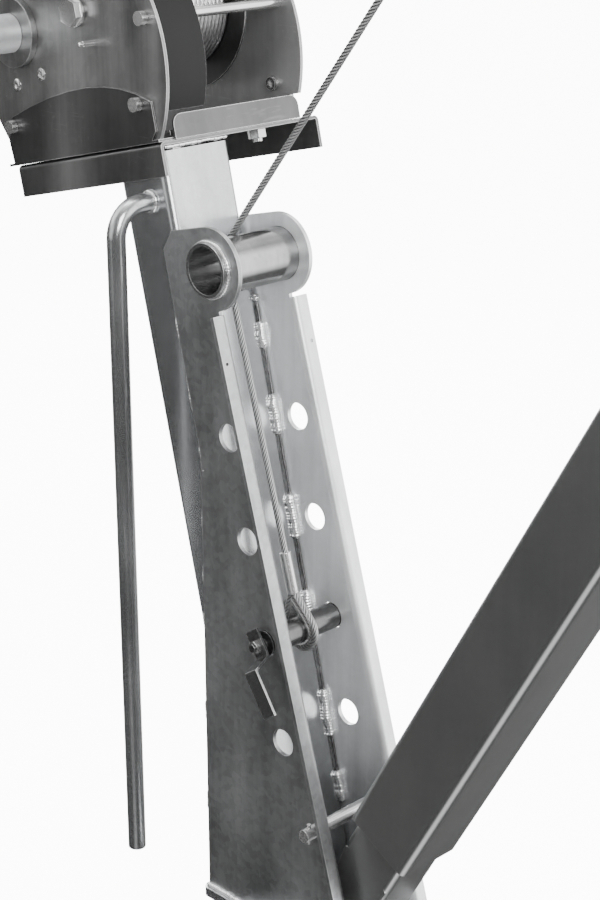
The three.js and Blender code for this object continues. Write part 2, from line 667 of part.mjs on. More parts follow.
// The arm is a smaller box tube. Its end is cut parallel to the mast's front, and two lugs carry it.
function jibArm() {
  const half = ARM_SIZE / 2;
  const inner = half - JIB_WALL;
  const tube = cut(
    plateYZ(roundedRectangle(-half, half, -half, half, 8), -100, ARM_END),
    plateYZ(roundedRectangle(-inner, inner, -inner, inner, 4), -101, ARM_END + 1),
  );
  const ahead = moved(box(FLANGE_FRONT + ARM_GAP, FAR, -FAR, FAR, -FAR, FAR), edge, jib);
  const lugOutline = roundedShape([
    [-LUG_RADIUS, -LUG_RADIUS, LUG_RADIUS - 1],
    [90, -half + 2, 4],
    [110, 0, 4],
    [90, half - 2, 4],
    [60, half - 6, 8],
    [-LUG_RADIUS, LUG_RADIUS, LUG_RADIUS - 1],
  ]);
  const lug = (y0, y1) => plateXZ(lugOutline, y0, y1, 3);
  return cut(
    joined(tube.intersect(ahead), lug(-half, -half + LUG_THICK), lug(half - LUG_THICK, half)),
    barY(PIVOT_RADIUS + RUNNING, -half - 1, half + 1, 0, 0, 24),
  );
}
piece(jib, "jib_arm", jibArm(), darkZinc);

// Spacers keep the arm in the middle of the mast.
const lugFace = ARM_SIZE / 2 + GAP;
for (const [name, side] of [["left", -1], ["right", 1]]) {
  const ends = [side * lugFace, side * (INSIDE_WIDTH / 2 - GAP)].sort((a, b) => a - b);
  piece(jib, "pivot_spacer_" + name, tubeY(22, PIVOT_RADIUS + RUNNING, ...ends, 0, 0, 24), castSteel);
}
const pivotPin = joined(
  barY(PIVOT_RADIUS, -OUTER - 12, OUTER + 12, PIVOT_X, -PIVOT_DROP, 24),
  hexY(18, -OUTER - 15 - GAP, -OUTER - GAP, PIVOT_X, -PIVOT_DROP),
  hexY(18, OUTER + GAP, OUTER + 15 + GAP, PIVOT_X, -PIVOT_DROP),
);
piece(upright, "luff_pivot_bolt", pivotPin, zincPlate);

// Two plates at the jib's head hold the stay's anchor pin and the hoist sheave.
const headOutline = roundedShape([
  [HEAD_START, -JIB_SIZE / 2 + 4, 6],
  [SHEAVE_ALONG - 10, -JIB_SIZE / 2 + 4, 30],
  [SHEAVE_ALONG + 45, SHEAVE_ABOVE - 25, 30],
  [SHEAVE_ALONG + 45, SHEAVE_ABOVE + 40, 30],
  [ANCHOR_ALONG + 32, ANCHOR_ABOVE + 30, 28],
  [ANCHOR_ALONG - 32, ANCHOR_ABOVE + 30, 28],
]);
for (const [name, side] of [["left", -1], ["right", 1]]) {
  const faces = [side * headHalf, side * (headHalf + HEAD_THICK)].sort((a, b) => a - b);
  const plate = cut(
    plateXZ(headOutline, ...faces, 4),
    barY(ANCHOR_RADIUS + RUNNING, -200, 200, ANCHOR_ALONG, ANCHOR_ABOVE, 20),
    barY(SHEAVE_PIN_RADIUS + RUNNING, -200, 200, SHEAVE_ALONG, SHEAVE_ABOVE, 24),
  );
  piece(jib, "head_plate_" + name, plate, darkZinc);
}
const headOuter = headHalf + HEAD_THICK;
// A cross pin with a head on each side of the two head plates.
function headPin(radius, headRadius, x, z) {
  return joined(
    barY(radius, -headOuter - 8, headOuter + 8, x, z, 20),
    barY(headRadius, -headOuter - 7, -headOuter - GAP, x, z, 16),
    barY(headRadius, headOuter + GAP, headOuter + 7, x, z, 16),
  );
}
piece(jib, "stay_anchor_pin", headPin(ANCHOR_RADIUS, 13, ANCHOR_ALONG, ANCHOR_ABOVE), zincPlate);
piece(jib, "sheave_pin", headPin(SHEAVE_PIN_RADIUS, 18, SHEAVE_ALONG, SHEAVE_ABOVE), zincPlate);

function headSheave() {
  const half = SHEAVE_WIDTH / 2;
  const hub = headHalf - 2;
  const bore = SHEAVE_PIN_RADIUS + RUNNING;
  const profile = [
    [bore, -hub],
    [bore + 9, -hub],
    [bore + 9, -half + 5],
    [SHEAVE_RADIUS - 16, -half + 5],
    [SHEAVE_RADIUS - 10, -half],
    [SHEAVE_RADIUS, -half],
    [SHEAVE_RADIUS - 9, -CABLE_RADIUS],
    [SHEAVE_RADIUS - 12, 0],
    [SHEAVE_RADIUS - 9, CABLE_RADIUS],
    [SHEAVE_RADIUS, half],
    [SHEAVE_RADIUS - 10, half],
    [SHEAVE_RADIUS - 16, half - 5],
    [bore + 9, half - 5],
    [bore + 9, hub],
    [bore, hub],
    [bore, -hub],
  ].map(([x, y]) => new THREE.Vector2(x, y));
  return solid(new THREE.LatheGeometry(profile, 28).translate(SHEAVE_ALONG, 0, SHEAVE_ABOVE));
}
piece(jib, "head_sheave", headSheave(), castSteel);

// ---- Winch bracket ----
// The bracket is a sheet folded down on both sides, welded over the spine's open top.
function winchBracket() {
  const left = -INSIDE_WIDTH / 2 - BRACKET_SHEET;
  const low = BRACKET_TOP - BRACKET_DROP;
  const t = BRACKET_SHEET;
  const section = roundedShape([
    [left, low],
    [left + t, low],
    [left + t, BRACKET_TOP - t, 2],
    [BRACKET_RIGHT - t, BRACKET_TOP - t, 2],
    [BRACKET_RIGHT - t, low],
    [BRACKET_RIGHT, low],
    [BRACKET_RIGHT, BRACKET_TOP, 6],
    [left, BRACKET_TOP, 6],
  ]);
  const sheet = plateYZ(section, -BRACKET_FRONT - BRACKET_LENGTH, -BRACKET_FRONT);
  return cut(sheet, ...boltPlaces.map(([x, y]) => barZ(BOLT_RADIUS + GAP, 0, 300, x, y, 12)));
}
const boltPlaces = [-75, -275].flatMap((x) => [-1, 1].map((side) => [x, WINCH_MIDDLE + side * BOLT_SPREAD]));
piece(mast, "winch_bracket", winchBracket(), galvanised);
boltPlaces.forEach(([x, y], i) => {
  const under = BRACKET_TOP - BRACKET_SHEET - GAP;
  const bolt = joined(
    barZ(BOLT_RADIUS, under - 14, WINCH_BASE + 5, x, y, 12),
    hexZ(BOLT_HEX, under - 10, under, x, y),
    hexZ(BOLT_HEX, WINCH_BASE + GAP, WINCH_BASE + 8, x, y),
  );
  piece(mast, "winch_bolt_" + (i + 1), bolt, zincPlate);
});

// ---- Winch frame ----
const crankX = -CRANK_BACK;
const drumX = -DRUM_BACK;
const FRONT_ARC = { x: -180, z: 240, radius: 165 }; // front edge of the side plates
const TOP_RADIUS = 126; // top edge round the drum axis
const SIDE_REAR = -335;

function sidePlate(y0) {
  const shape = new THREE.Shape();
  const low = WINCH_BASE + GAP;
  const startAngle = Math.asin((low - FRONT_ARC.z) / FRONT_ARC.radius);
  const endAngle = Math.asin((DRUM_ABOVE - FRONT_ARC.z) / FRONT_ARC.radius);
  shape.moveTo(-306, low);
  shape.lineTo(FRONT_ARC.x + FRONT_ARC.radius * Math.cos(startAngle), low);
  shape.absarc(FRONT_ARC.x, FRONT_ARC.z, FRONT_ARC.radius, startAngle, endAngle, false);
  shape.absarc(drumX, DRUM_ABOVE, TOP_RADIUS, 0, rad(90), false);
  shape.absarc(SIDE_REAR + 40, DRUM_ABOVE + TOP_RADIUS - 40, 40, rad(90), rad(180), false);
  shape.lineTo(SIDE_REAR, 205);
  shape.closePath();
  const screwHoles = [cradleScrew, ...tiePlaces].map((place) =>
    barY(TIE_SCREW_RADIUS + GAP, -200, 300, ...place, 10),
  );
  return cut(
    plateXZ(shape, y0, y0 + SIDE_THICK, 7),
    barY(AXLE_RADIUS + GAP, -200, 300, drumX, DRUM_ABOVE, 24),
    barY(SHAFT_RADIUS + RUNNING, -200, 300, crankX, CRANK_ABOVE, 24),
    ...screwHoles,
  );
}
// Each tie bar is shouldered between the plates and screwed through them from both sides.
const tiePlaces = [[-38, 272], [-300, 186], [-300, 392]];
const tieNames = ["tie_bar_upper_front", "tie_bar_lower_rear", "tie_bar_upper_rear"];
const cradleScrew = [-68.6, 184.7];
piece(mast, "winch_side_left", sidePlate(WINCH_LEFT), darkZinc);
const lipTop = BRACKET_TOP + LIP_HEIGHT + 2 * GAP;
const lipNotch = box(-BRACKET_FRONT - GAP, 0, WINCH_RIGHT - SIDE_THICK - 1, WINCH_RIGHT + 1, 0, lipTop);
piece(mast, "winch_side_right", cut(sidePlate(WINCH_RIGHT - SIDE_THICK), lipNotch), darkZinc);
const flangeRoom = CRADLE_SHEET + GAP; // the cradle's side flanges stand outside the plates
tiePlaces.forEach(([x, z], i) => {
  const low = z < 200;
  const reach = low ? flangeRoom : 0;
  const start = WINCH_LEFT - reach - GAP;
  const end = WINCH_RIGHT + reach + GAP;
  const bar = joined(
    barY(TIE_RADIUS, WINCH_LEFT + SIDE_THICK + GAP, WINCH_RIGHT - SIDE_THICK - GAP, x, z, 16),
    barY(TIE_SCREW_RADIUS, start - 3, end + 3, x, z, 10),
    barY(8, start - 8, start, x, z, 12),
    barY(8, end, end + 8, x, z, 12),
  );
  piece(mast, tieNames[i], bar, zincPlate);
});

// The cradle is a folded sheet: floor, arched side flanges outside the plates, and a front lip.
function cradle() {
  const t = CRADLE_SHEET;
  const floorLow = BRACKET_TOP + GAP;
  const front = -BRACKET_FRONT;
  const rear = front - CRADLE_LENGTH;
  const left = WINCH_LEFT - flangeRoom;
  const right = WINCH_RIGHT + flangeRoom;
  const floor = box(rear, front, left, right, floorLow, floorLow + t);
  const tongue = box(rear - CRADLE_TONGUE, rear + 1, left + 4, left + 34, floorLow, floorLow + t);
  const arch = new THREE.Shape();
  arch.moveTo(rear, floorLow);
  arch.lineTo(front - 14, floorLow);
  arch.lineTo(front - 2, floorLow + 12);
  arch.lineTo(front - 2, floorLow + 44);
  arch.quadraticCurveTo(front - 90, floorLow + 2 * CRADLE_ARC - 42, rear + 12, floorLow + 56);
  arch.lineTo(rear - 2, floorLow + 30);
  arch.closePath();
  const lip = plateYZ(
    roundedShape([
      [left + 22, floorLow],
      [right, floorLow],
      [right, floorLow + LIP_HEIGHT, LIP_CORNER],
      [left + 22, floorLow + LIP_HEIGHT, LIP_CORNER],
    ]),
    front,
    front + t,
  );
  return cut(
    joined(floor, tongue, lip, plateXZ(arch, left, left + t, 8), plateXZ(arch, right - t, right, 8)),
    ...boltPlaces.map(([x, y]) => barZ(BOLT_RADIUS + GAP, 0, 300, x, y, 12)),
    barY(TIE_SCREW_RADIUS + GAP, -200, 300, ...tiePlaces[1], 10),
    barY(TIE_SCREW_RADIUS + GAP, -200, 0, ...cradleScrew, 10),
  );
}
// At the front the left flange is screwed to its plate, and the right one has a riveted stud of its own.
const rivetFace = WINCH_RIGHT - SIDE_THICK;
const rivet = joined(
  barY(TIE_SCREW_RADIUS, rivetFace - 6, WINCH_RIGHT + flangeRoom - 1, ...cradleScrew, 10),
  barY(8, rivetFace - 6, rivetFace - GAP, ...cradleScrew, 12),
);
piece(mast, "winch_cradle", joined(cradle(), rivet), darkZinc);
const screwFace = WINCH_LEFT - flangeRoom - GAP;
const frontScrew = joined(
  barY(TIE_SCREW_RADIUS, screwFace - 1, WINCH_LEFT + SIDE_THICK + 6, ...cradleScrew, 10),
  barY(8, screwFace - 8, screwFace, ...cradleScrew, 12),
);
piece(mast, "cradle_screw_front", frontScrew, zincPlate);

// ---- Drum, gears and crank ----
const axle = joined(
  barY(AXLE_RADIUS, WINCH_LEFT - 10, WINCH_RIGHT + 10, drumX, DRUM_ABOVE, 24),
  barY(17, WINCH_LEFT - 3 - GAP, WINCH_LEFT - GAP, drumX, DRUM_ABOVE, 24),
  hexY(14, WINCH_LEFT - 12, WINCH_LEFT - 3, drumX, DRUM_ABOVE),
  barY(17, WINCH_RIGHT + GAP, WINCH_RIGHT + 3 + GAP, drumX, DRUM_ABOVE, 24),
  hexY(14, WINCH_RIGHT + 3, WINCH_RIGHT + 12, drumX, DRUM_ABOVE),
);
piece(mast, "drum_axle", axle, zincPlate);

function ropeDrum() {
  const t = DRUM_FLANGE_THICK;
  const profile = [
    [DRUM_BORE_RADIUS, GEAR_START - 4],
    [DRUM_BORE_RADIUS + 8, GEAR_START - 4],
    [DRUM_BORE_RADIUS + 8, DRUM_START],
    [DRUM_FLANGE_RADIUS, DRUM_START],
    [DRUM_FLANGE_RADIUS, DRUM_START + t],
    [DRUM_CORE_RADIUS, DRUM_START + t],
    [DRUM_CORE_RADIUS, DRUM_END - t],
    [DRUM_FLANGE_RADIUS, DRUM_END - t],
    [DRUM_FLANGE_RADIUS, DRUM_END],
    [DRUM_BORE_RADIUS + 8, DRUM_END],
    [DRUM_BORE_RADIUS + 8, WINCH_RIGHT - SIDE_THICK - 2],
    [DRUM_BORE_RADIUS, WINCH_RIGHT - SIDE_THICK - 2],
    [DRUM_BORE_RADIUS, GEAR_START - 4],
  ].map(([x, y]) => new THREE.Vector2(x, y));
  return solid(new THREE.LatheGeometry(profile, 36).translate(drumX, 0, DRUM_ABOVE));
}
piece(mast, "rope_drum", ropeDrum(), galvanised);

const windingEnds = [DRUM_START + DRUM_FLANGE_THICK + GAP, DRUM_END - DRUM_FLANGE_THICK - GAP];
const winding = tubeY(WINDING_RADIUS, DRUM_CORE_RADIUS + GAP, ...windingEnds, drumX, DRUM_ABOVE, 36);
piece(mast, "rope_winding", winding, ropeSteel);

// A spur gear drawn in X and Z, its first tooth centred on the angle phase.
function gear(teeth, phase, bore, y0, y1) {
  const pitch = (GEAR_MODULE * teeth) / 2;
  const root = pitch - 1.25 * GEAR_MODULE;
  const tip = pitch + 0.95 * GEAR_MODULE;
  const step = (2 * Math.PI) / teeth;
  const points = [];
  for (let i = 0; i < teeth; i++) {
    const middle = phase + i * step;
    for (const [radius, share] of [[root, -0.3], [tip, -0.1], [tip, 0.1], [root, 0.3]]) {
      const angle = middle + share * step;
      points.push(new THREE.Vector2(radius * Math.cos(angle), radius * Math.sin(angle)));
    }
  }
  const shape = new THREE.Shape(points);
  return cut(plateXZ(shape, y0, y1), barY(bore, y0 - 1, y1 + 1, 0, 0, 24));
}
const meshWay = rad(PINION_DIRECTION); // from the drum axis to the crank shaft
const gearEnd = GEAR_START + GEAR_WIDTH;
const drumGear = gear(GEAR_TEETH, meshWay, DRUM_BORE_RADIUS + 8 + GAP, GEAR_START, gearEnd);
piece(mast, "drum_gear", drumGear.translate([drumX, 0, DRUM_ABOVE]), castSteel);
const pinionPhase = meshWay + Math.PI + Math.PI / PINION_TEETH;
const pinion = gear(PINION_TEETH, pinionPhase, SHAFT_RADIUS + GAP, GEAR_START + 1, gearEnd - 1);
piece(mast, "pinion", pinion.translate([crankX, 0, CRANK_ABOVE]), castSteel);

const hubStart = WINCH_LEFT - BRAKE_THICK - 2 * GAP - HUB_LENGTH;
const shaft = joined(
  barY(SHAFT_RADIUS, hubStart + 8, WINCH_RIGHT + 6, crankX, CRANK_ABOVE, 24),
  barY(HUB_RADIUS, hubStart, hubStart + HUB_LENGTH, crankX, CRANK_ABOVE, 32),
);
piece(mast, "crank_shaft", shaft, zincPlate);
const brakeEnds = [WINCH_LEFT - GAP - BRAKE_THICK, WINCH_LEFT - GAP];
const brakeCover = tubeY(BRAKE_RADIUS, SHAFT_RADIUS + RUNNING, ...brakeEnds, crankX, CRANK_ABOVE, 36);
piece(mast, "brake_cover", brakeCover, darkZinc);

// The crank hangs straight down from its shaft.
const crankAt = pointIn(crankX, CRANK_ABOVE, mast, upright);
const armOuter = hubStart - GAP;
const armOutline = roundedRectangle(
  -CRANK_WIDTH / 2,
  CRANK_WIDTH / 2,
  -CRANK_RADIUS - CRANK_WIDTH / 2,
  CRANK_WIDTH / 2,
  CRANK_WIDTH / 2 - 1,
);
const gripStart = armOuter - CRANK_THICK - 4;
const crankArm = joined(
  plateXZ(armOutline, armOuter - CRANK_THICK, armOuter, 5),
  barY(6, gripStart - GRIP_LENGTH - 4, armOuter - 1, 0, -CRANK_RADIUS, 16),
  barY(10, gripStart - GRIP_LENGTH - 8, gripStart - GRIP_LENGTH - 4, 0, -CRANK_RADIUS, 16),
);
piece(upright, "crank_arm", crankArm.translate([crankAt.x, 0, crankAt.z]), zincPlate);
const gripBore = 6 + RUNNING;
const gripProfile = [
  [gripBore, 0],
  [GRIP_RADIUS, 0],
  [GRIP_RADIUS + 2, -GRIP_LENGTH * 0.35],
  [GRIP_RADIUS + 1, -GRIP_LENGTH * 0.7],
  [GRIP_RADIUS - 2, -GRIP_LENGTH + 1],
  [gripBore, -GRIP_LENGTH + 1],
  [gripBore, 0],
].map(([x, y]) => new THREE.Vector2(x, y + gripStart));
const gripLathe = new THREE.LatheGeometry(gripProfile, 24);
const grip = solid(gripLathe.translate(crankAt.x, 0, crankAt.z - CRANK_RADIUS));
piece(upright, "crank_grip", grip, plastic);

// ---- Ratchet and pawl ----
function ratchetWheel() {
  const step = (2 * Math.PI) / RATCHET_TEETH;
  const points = [];
  for (let i = 0; i < RATCHET_TEETH; i++) {
    const start = i * step;
    points.push([RATCHET_RADIUS - RATCHET_DEPTH, start], [RATCHET_RADIUS, start + 0.9 * step]);
  }
  const shape = new THREE.Shape(
    points.map(([radius, angle]) => new THREE.Vector2(radius * Math.cos(angle), radius * Math.sin(angle))),
  );
  const wheel = plateXZ(shape, RATCHET_START, RATCHET_START + RATCHET_WIDTH);
  return cut(wheel, barY(SHAFT_RADIUS + GAP, 0, 300, 0, 0, 24)).translate([crankX, 0, CRANK_ABOVE]);
}
piece(mast, "ratchet_wheel", ratchetWheel(), castSteel);

const PAWL_PIVOT = { x: crankX + 8, z: CRANK_ABOVE + 58 };
const pawlEnds = [RATCHET_START + 1, RATCHET_START + RATCHET_WIDTH - 1];
const pawlTip = [crankX + 18, CRANK_ABOVE + RATCHET_RADIUS - RATCHET_DEPTH + 3.5];
const pawlBody = joined(
  barY(11, ...pawlEnds, PAWL_PIVOT.x, PAWL_PIVOT.z, 20),
  plateXZ(
    roundedShape([
      [PAWL_PIVOT.x - 8, PAWL_PIVOT.z - 4],
      [pawlTip[0] - 3, pawlTip[1], 1],
      [pawlTip[0] + 4, pawlTip[1] + 1, 1],
      [PAWL_PIVOT.x + 10, PAWL_PIVOT.z - 2],
    ]),
    ...pawlEnds,
  ),
  plateXZ(
    roundedRectangle(PAWL_PIVOT.x - 46, PAWL_PIVOT.x, PAWL_PIVOT.z + 1, PAWL_PIVOT.z + 9, 3),
    ...pawlEnds,
  ),
);
piece(mast, "pawl", cut(pawlBody, barY(5 + RUNNING, 0, 300, PAWL_PIVOT.x, PAWL_PIVOT.z, 16)), castSteel);
const pawlPin = barY(5, RATCHET_START - 4, WINCH_RIGHT - SIDE_THICK - GAP, PAWL_PIVOT.x, PAWL_PIVOT.z, 16);
piece(mast, "pawl_pin", pawlPin, zincPlate);

// ---- Gear cover ----
// A curved strip over the gear, from the cradle's front up and over to the rear.
function gearCover() {
  const COVER_ARC = { x: -167, z: 240, radius: 145 };
  const low = Math.asin((BRACKET_TOP + LIP_HEIGHT + 4 - COVER_ARC.z) / COVER_ARC.radius);
  const meet = Math.asin((DRUM_ABOVE - COVER_ARC.z) / COVER_ARC.radius);
  const overTop = COVER_ARC.x + COVER_ARC.radius * Math.cos(meet) - drumX;
  const end = rad(140);
  const shape = new THREE.Shape();
  shape.absarc(COVER_ARC.x, COVER_ARC.z, COVER_ARC.radius, low, meet, false);
  shape.absarc(drumX, DRUM_ABOVE, overTop, 0, end, false);
  shape.absarc(drumX, DRUM_ABOVE, overTop - COVER_SHEET, end, 0, true);
  shape.absarc(COVER_ARC.x, COVER_ARC.z, COVER_ARC.radius - COVER_SHEET, meet, low, true);
  shape.closePath();
  return plateXZ(shape, COVER_START, COVER_END, 8);
}
piece(mast, "gear_cover", gearCover(), greyPaint);

export default crane;
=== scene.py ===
# %% [markdown]
# # A swivel crane's mast, winch and jib
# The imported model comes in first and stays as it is: each of its parts gets a finish, and the parts that
# need more than a finish, such as the wire ropes and the welds, are made here. Everything is in metres,
# with the slewing axis as Z and the jib towards +X.

# %% Load the frame
import json
import math
import random

import bpy
from mathutils import Matrix, Vector


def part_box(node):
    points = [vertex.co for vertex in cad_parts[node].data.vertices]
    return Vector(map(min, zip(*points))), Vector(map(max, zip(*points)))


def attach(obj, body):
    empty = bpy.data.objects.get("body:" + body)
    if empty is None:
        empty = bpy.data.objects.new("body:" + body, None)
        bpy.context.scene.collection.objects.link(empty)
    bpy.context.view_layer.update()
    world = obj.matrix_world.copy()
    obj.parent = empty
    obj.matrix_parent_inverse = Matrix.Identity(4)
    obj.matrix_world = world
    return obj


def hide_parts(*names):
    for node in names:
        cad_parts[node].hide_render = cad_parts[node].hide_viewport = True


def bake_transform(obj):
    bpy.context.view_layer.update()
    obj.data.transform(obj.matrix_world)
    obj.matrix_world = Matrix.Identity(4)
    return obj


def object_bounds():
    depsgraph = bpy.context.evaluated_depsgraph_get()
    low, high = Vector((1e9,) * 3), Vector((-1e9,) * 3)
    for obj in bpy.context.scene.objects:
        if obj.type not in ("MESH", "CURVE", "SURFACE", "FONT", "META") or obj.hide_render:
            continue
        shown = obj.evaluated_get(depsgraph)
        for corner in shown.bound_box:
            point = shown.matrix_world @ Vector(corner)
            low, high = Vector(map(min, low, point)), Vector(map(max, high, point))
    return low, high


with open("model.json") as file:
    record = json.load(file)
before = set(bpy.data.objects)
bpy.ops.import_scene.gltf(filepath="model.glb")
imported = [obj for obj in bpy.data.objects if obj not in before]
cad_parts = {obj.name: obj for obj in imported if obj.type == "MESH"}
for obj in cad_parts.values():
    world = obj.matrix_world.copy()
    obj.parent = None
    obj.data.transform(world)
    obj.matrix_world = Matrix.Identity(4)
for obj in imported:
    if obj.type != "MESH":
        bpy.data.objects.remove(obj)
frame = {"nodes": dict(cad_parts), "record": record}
cad_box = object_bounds()
nodes = frame["nodes"]
scene = bpy.context.scene

# %% [markdown]
# ## The camera
# The view is from the front left of the crane, a little above the mast's head. A long lens keeps the
# mast's upright edges nearly parallel, so the camera stands two metres away and is built from the angle it
# looks along, with a trace of roll.

# %% Camera
CAMERA_PLACE = Vector((1.4024, -1.3933, 1.4739))
CAMERA_AZIMUTH = math.radians(45.36)
CAMERA_ELEVATION = math.radians(19.74)
CAMERA_ROLL = math.radians(-0.12)
backwards = Vector(
    (
        math.cos(CAMERA_ELEVATION) * math.sin(CAMERA_AZIMUTH),
        -math.cos(CAMERA_ELEVATION) * math.cos(CAMERA_AZIMUTH),
        math.sin(CAMERA_ELEVATION),
    )
)
lens = bpy.data.cameras.new("camera")
lens.sensor_fit = "VERTICAL"
lens.sensor_height = 36
lens.sensor_width = 24
lens.lens = 77.07
camera = bpy.data.objects.new("camera", lens)
aimed = (-backwards).to_track_quat("-Z", "Y").to_matrix().to_4x4()
camera.matrix_world = Matrix.Translation(CAMERA_PLACE) @ aimed @ Matrix.Rotation(CAMERA_ROLL, 4, "Z")
scene.collection.objects.link(camera)
scene.camera = camera
print("camera", tuple(round(v, 3) for v in camera.location))

# %% [markdown]
# ## Where things are
# The mast leans backwards, so most of what is added to it is placed in a leaning frame: *ahead* is square
# to the spine, *up* runs along it, and both start at the guide tube's axis. The jib has a frame of its own,
# from the luffing pivot along the tube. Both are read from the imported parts.

# %% Frames
LEAN = math.radians(13.5)
JIB_ANGLE = math.radians(61)


def middle(node):
    low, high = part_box(node)
    return (low + high) / 2


def half_size(node):
    low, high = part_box(node)
    return (high - low) / 2


guide = middle("guide_tube")
pin = middle("adjusting_pin")
anchor = middle("stay_anchor_pin")
pivot = middle("luff_pivot_bolt")
guide.y = pin.y = anchor.y = pivot.y = 0


def on_mast(ahead, up, across=0.0):
    x = ahead * math.cos(LEAN) - up * math.sin(LEAN)
    z = ahead * math.sin(LEAN) + up * math.cos(LEAN)
    return guide + Vector((x, across, z))


def on_jib(along, above, across=0.0):
    x = along * math.cos(JIB_ANGLE) - above * math.sin(JIB_ANGLE)
    z = along * math.sin(JIB_ANGLE) + above * math.cos(JIB_ANGLE)
    return pivot + Vector((x, across, z))


print("guide", tuple(round(v, 3) for v in guide), "anchor", tuple(round(v, 3) for v in anchor))

# %% [markdown]
# ## Studio
# Zinc looks the way its surroundings look, so the studio matters more than the colour of the metal. The
# world is dark on the side that the broad plates face, and soft boxes light the rest: a strong one beside
# the folded flanges, a wide one behind, which draws a bright line along every turned edge, and smaller ones
# above and below. The floor is plain and pale, and is left out of reflections, as if it were further down.
# Both the floor and the world behind it look paper white to the camera alone.

# %% World
world = bpy.data.worlds.new("studio")
scene.world = world
world.use_nodes = True


def add(tree, kind, settings=None, inputs=None):
    """One node: settings are its own options, inputs are values or sockets to link."""
    made = tree.nodes.new(kind)
    for key, value in (settings or {}).items():
        setattr(made, key, value)
    for key, value in (inputs or {}).items():
        if isinstance(value, bpy.types.NodeSocket):
            tree.links.new(value, made.inputs[key])
        else:
            made.inputs[key].default_value = value
    return made


def math_node(tree, operation, *values, clamp=False):
    inputs = dict(enumerate(values))
    return add(tree, "ShaderNodeMath", {"operation": operation, "use_clamp": clamp}, inputs).outputs[0]


def mix_colour(tree, factor, first, second, blend="MIX"):
    settings = {"data_type": "RGBA", "blend_type": blend}
    return add(tree, "ShaderNodeMix", settings, {0: factor, 6: first, 7: second}).outputs[2]


def ramp(tree, factor, *stops):
    """A colour ramp through (place, grey) stops."""
    made = add(tree, "ShaderNodeValToRGB", None, {0: factor})
    points = made.color_ramp.elements
    while len(points) < len(stops):
        points.new(0.5)
    for point, (place, value) in zip(points, stops):
        point.position = place
        point.color = (value, value, value, 1)
    return made.outputs[0]


def grey(value, warm=0.0):
    """A grey, or with warm above or below 0 a slightly yellow or blue one."""
    return (value * (1 + warm), value, value * (1 - warm), 1)


sky = world.node_tree
sky.nodes.clear()
ray = add(sky, "ShaderNodeTexCoord").outputs["Generated"]
towards = add(sky, "ShaderNodeSeparateXYZ", None, {0: ray}).outputs
height = math_node(sky, "MULTIPLY_ADD", towards[2], 0.5, 0.5)
shade = ramp(sky, height, (0.2, 0.04), (0.45, 0.06), (0.62, 0.16), (0.95, 0.6))


def soft_box(direction, narrow, wide, strength):
    """A bright patch of the world. narrow and wide are the cosines of its full middle and its faded rim."""
    inputs = {0: ray, 1: Vector(direction).normalized()}
    facing = add(sky, "ShaderNodeVectorMath", {"operation": "DOT_PRODUCT"}, inputs).outputs["Value"]
    return math_node(sky, "MULTIPLY", ramp(sky, facing, (wide, 0.0), (narrow, 1.0)), strength)


SOFT_BOXES = {
    "beside": ((0.76, 0.62, 0.10), 0.92, 0.72, 3.4),
    "behind": ((-0.62, 0.78, 0.05), 0.88, 0.62, 2.6),
    "above": ((0.10, 0.20, 1.00), 0.94, 0.76, 1.6),
    "below": ((0.45, 0.62, -0.62), 0.92, 0.55, 0.1),
    "bounce": ((0.28, -0.42, -0.86), 0.97, 0.86, 2.6),
    "winch": ((-0.30, -0.93, 0.20), 0.98, 0.88, 0.8),
    "shoulder": ((-0.60, -0.35, 0.70), 0.95, 0.82, 2.4),
}
for box in SOFT_BOXES.values():
    shade = math_node(sky, "ADD", shade, soft_box(*box))
PAPER_WHITE = 11.0
seen = add(sky, "ShaderNodeLightPath").outputs["Is Camera Ray"]
colour = mix_colour(sky, seen, shade, grey(PAPER_WHITE))
background = add(sky, "ShaderNodeBackground", None, {"Color": colour, "Strength": 1.0})
add(sky, "ShaderNodeOutputWorld", None, {0: background.outputs[0]})
print("world ready")

# %% Lights and floor
def area_light(name, place, aim, size, power, across=None):
    light = bpy.data.lights.new(name, "AREA")
    light.shape = "RECTANGLE"
    light.size = size
    light.size_y = across or size
    light.energy = power
    lamp = bpy.data.objects.new(name, light)
    lamp.location = place
    lamp.rotation_euler = (Vector(aim) - Vector(place)).to_track_quat("-Z", "Y").to_euler()
    lamp.visible_camera = False
    scene.collection.objects.link(lamp)
    return lamp


area_light("key_light", (3.0, -1.5, 2.5), guide, 1.4, 150, 2.2)
area_light("top_light", (-0.4, 0.6, 4.2), guide, 2.4, 90)
area_light("rim_light", (-2.6, 2.0, 2.2), guide, 1.2, 40)
area_light("low_light", (-1.4, -3.0, 1.7), guide, 3.4, 12, 2.4)

FLOOR_REACH = 60.0
FLOOR_GAP = 0.0005
floor_corners = [(x * FLOOR_REACH, y * FLOOR_REACH, 0) for x, y in ((-1, -1), (1, -1), (1, 1), (-1, 1))]
floor_mesh = bpy.data.meshes.new("floor")
floor_mesh.from_pydata(floor_corners, [], [(0, 1, 2, 3)])
floor = bpy.data.objects.new("floor", floor_mesh)
floor.location.z = cad_box[0][2] - FLOOR_GAP
floor.visible_glossy = False
scene.collection.objects.link(floor)
paper = bpy.data.materials.new("floor_paper")
paper.use_nodes = True
skin = paper.node_tree.nodes["Principled BSDF"]
skin.inputs["Base Color"].default_value = grey(0.9)
skin.inputs["Roughness"].default_value = 0.9
skin.inputs["Emission Color"].default_value = grey(1.0)
LAMP_SHARE = 1.6
SOFT_GLOW = 0.6
light_path = add(paper.node_tree, "ShaderNodeLightPath").outputs["Is Camera Ray"]
glow = math_node(paper.node_tree, "MULTIPLY_ADD", light_path, PAPER_WHITE - LAMP_SHARE, SOFT_GLOW)
paper.node_tree.links.new(glow, skin.inputs["Emission Strength"])
floor_mesh.materials.append(paper)
print("floor at", round(floor.location.z, 4))

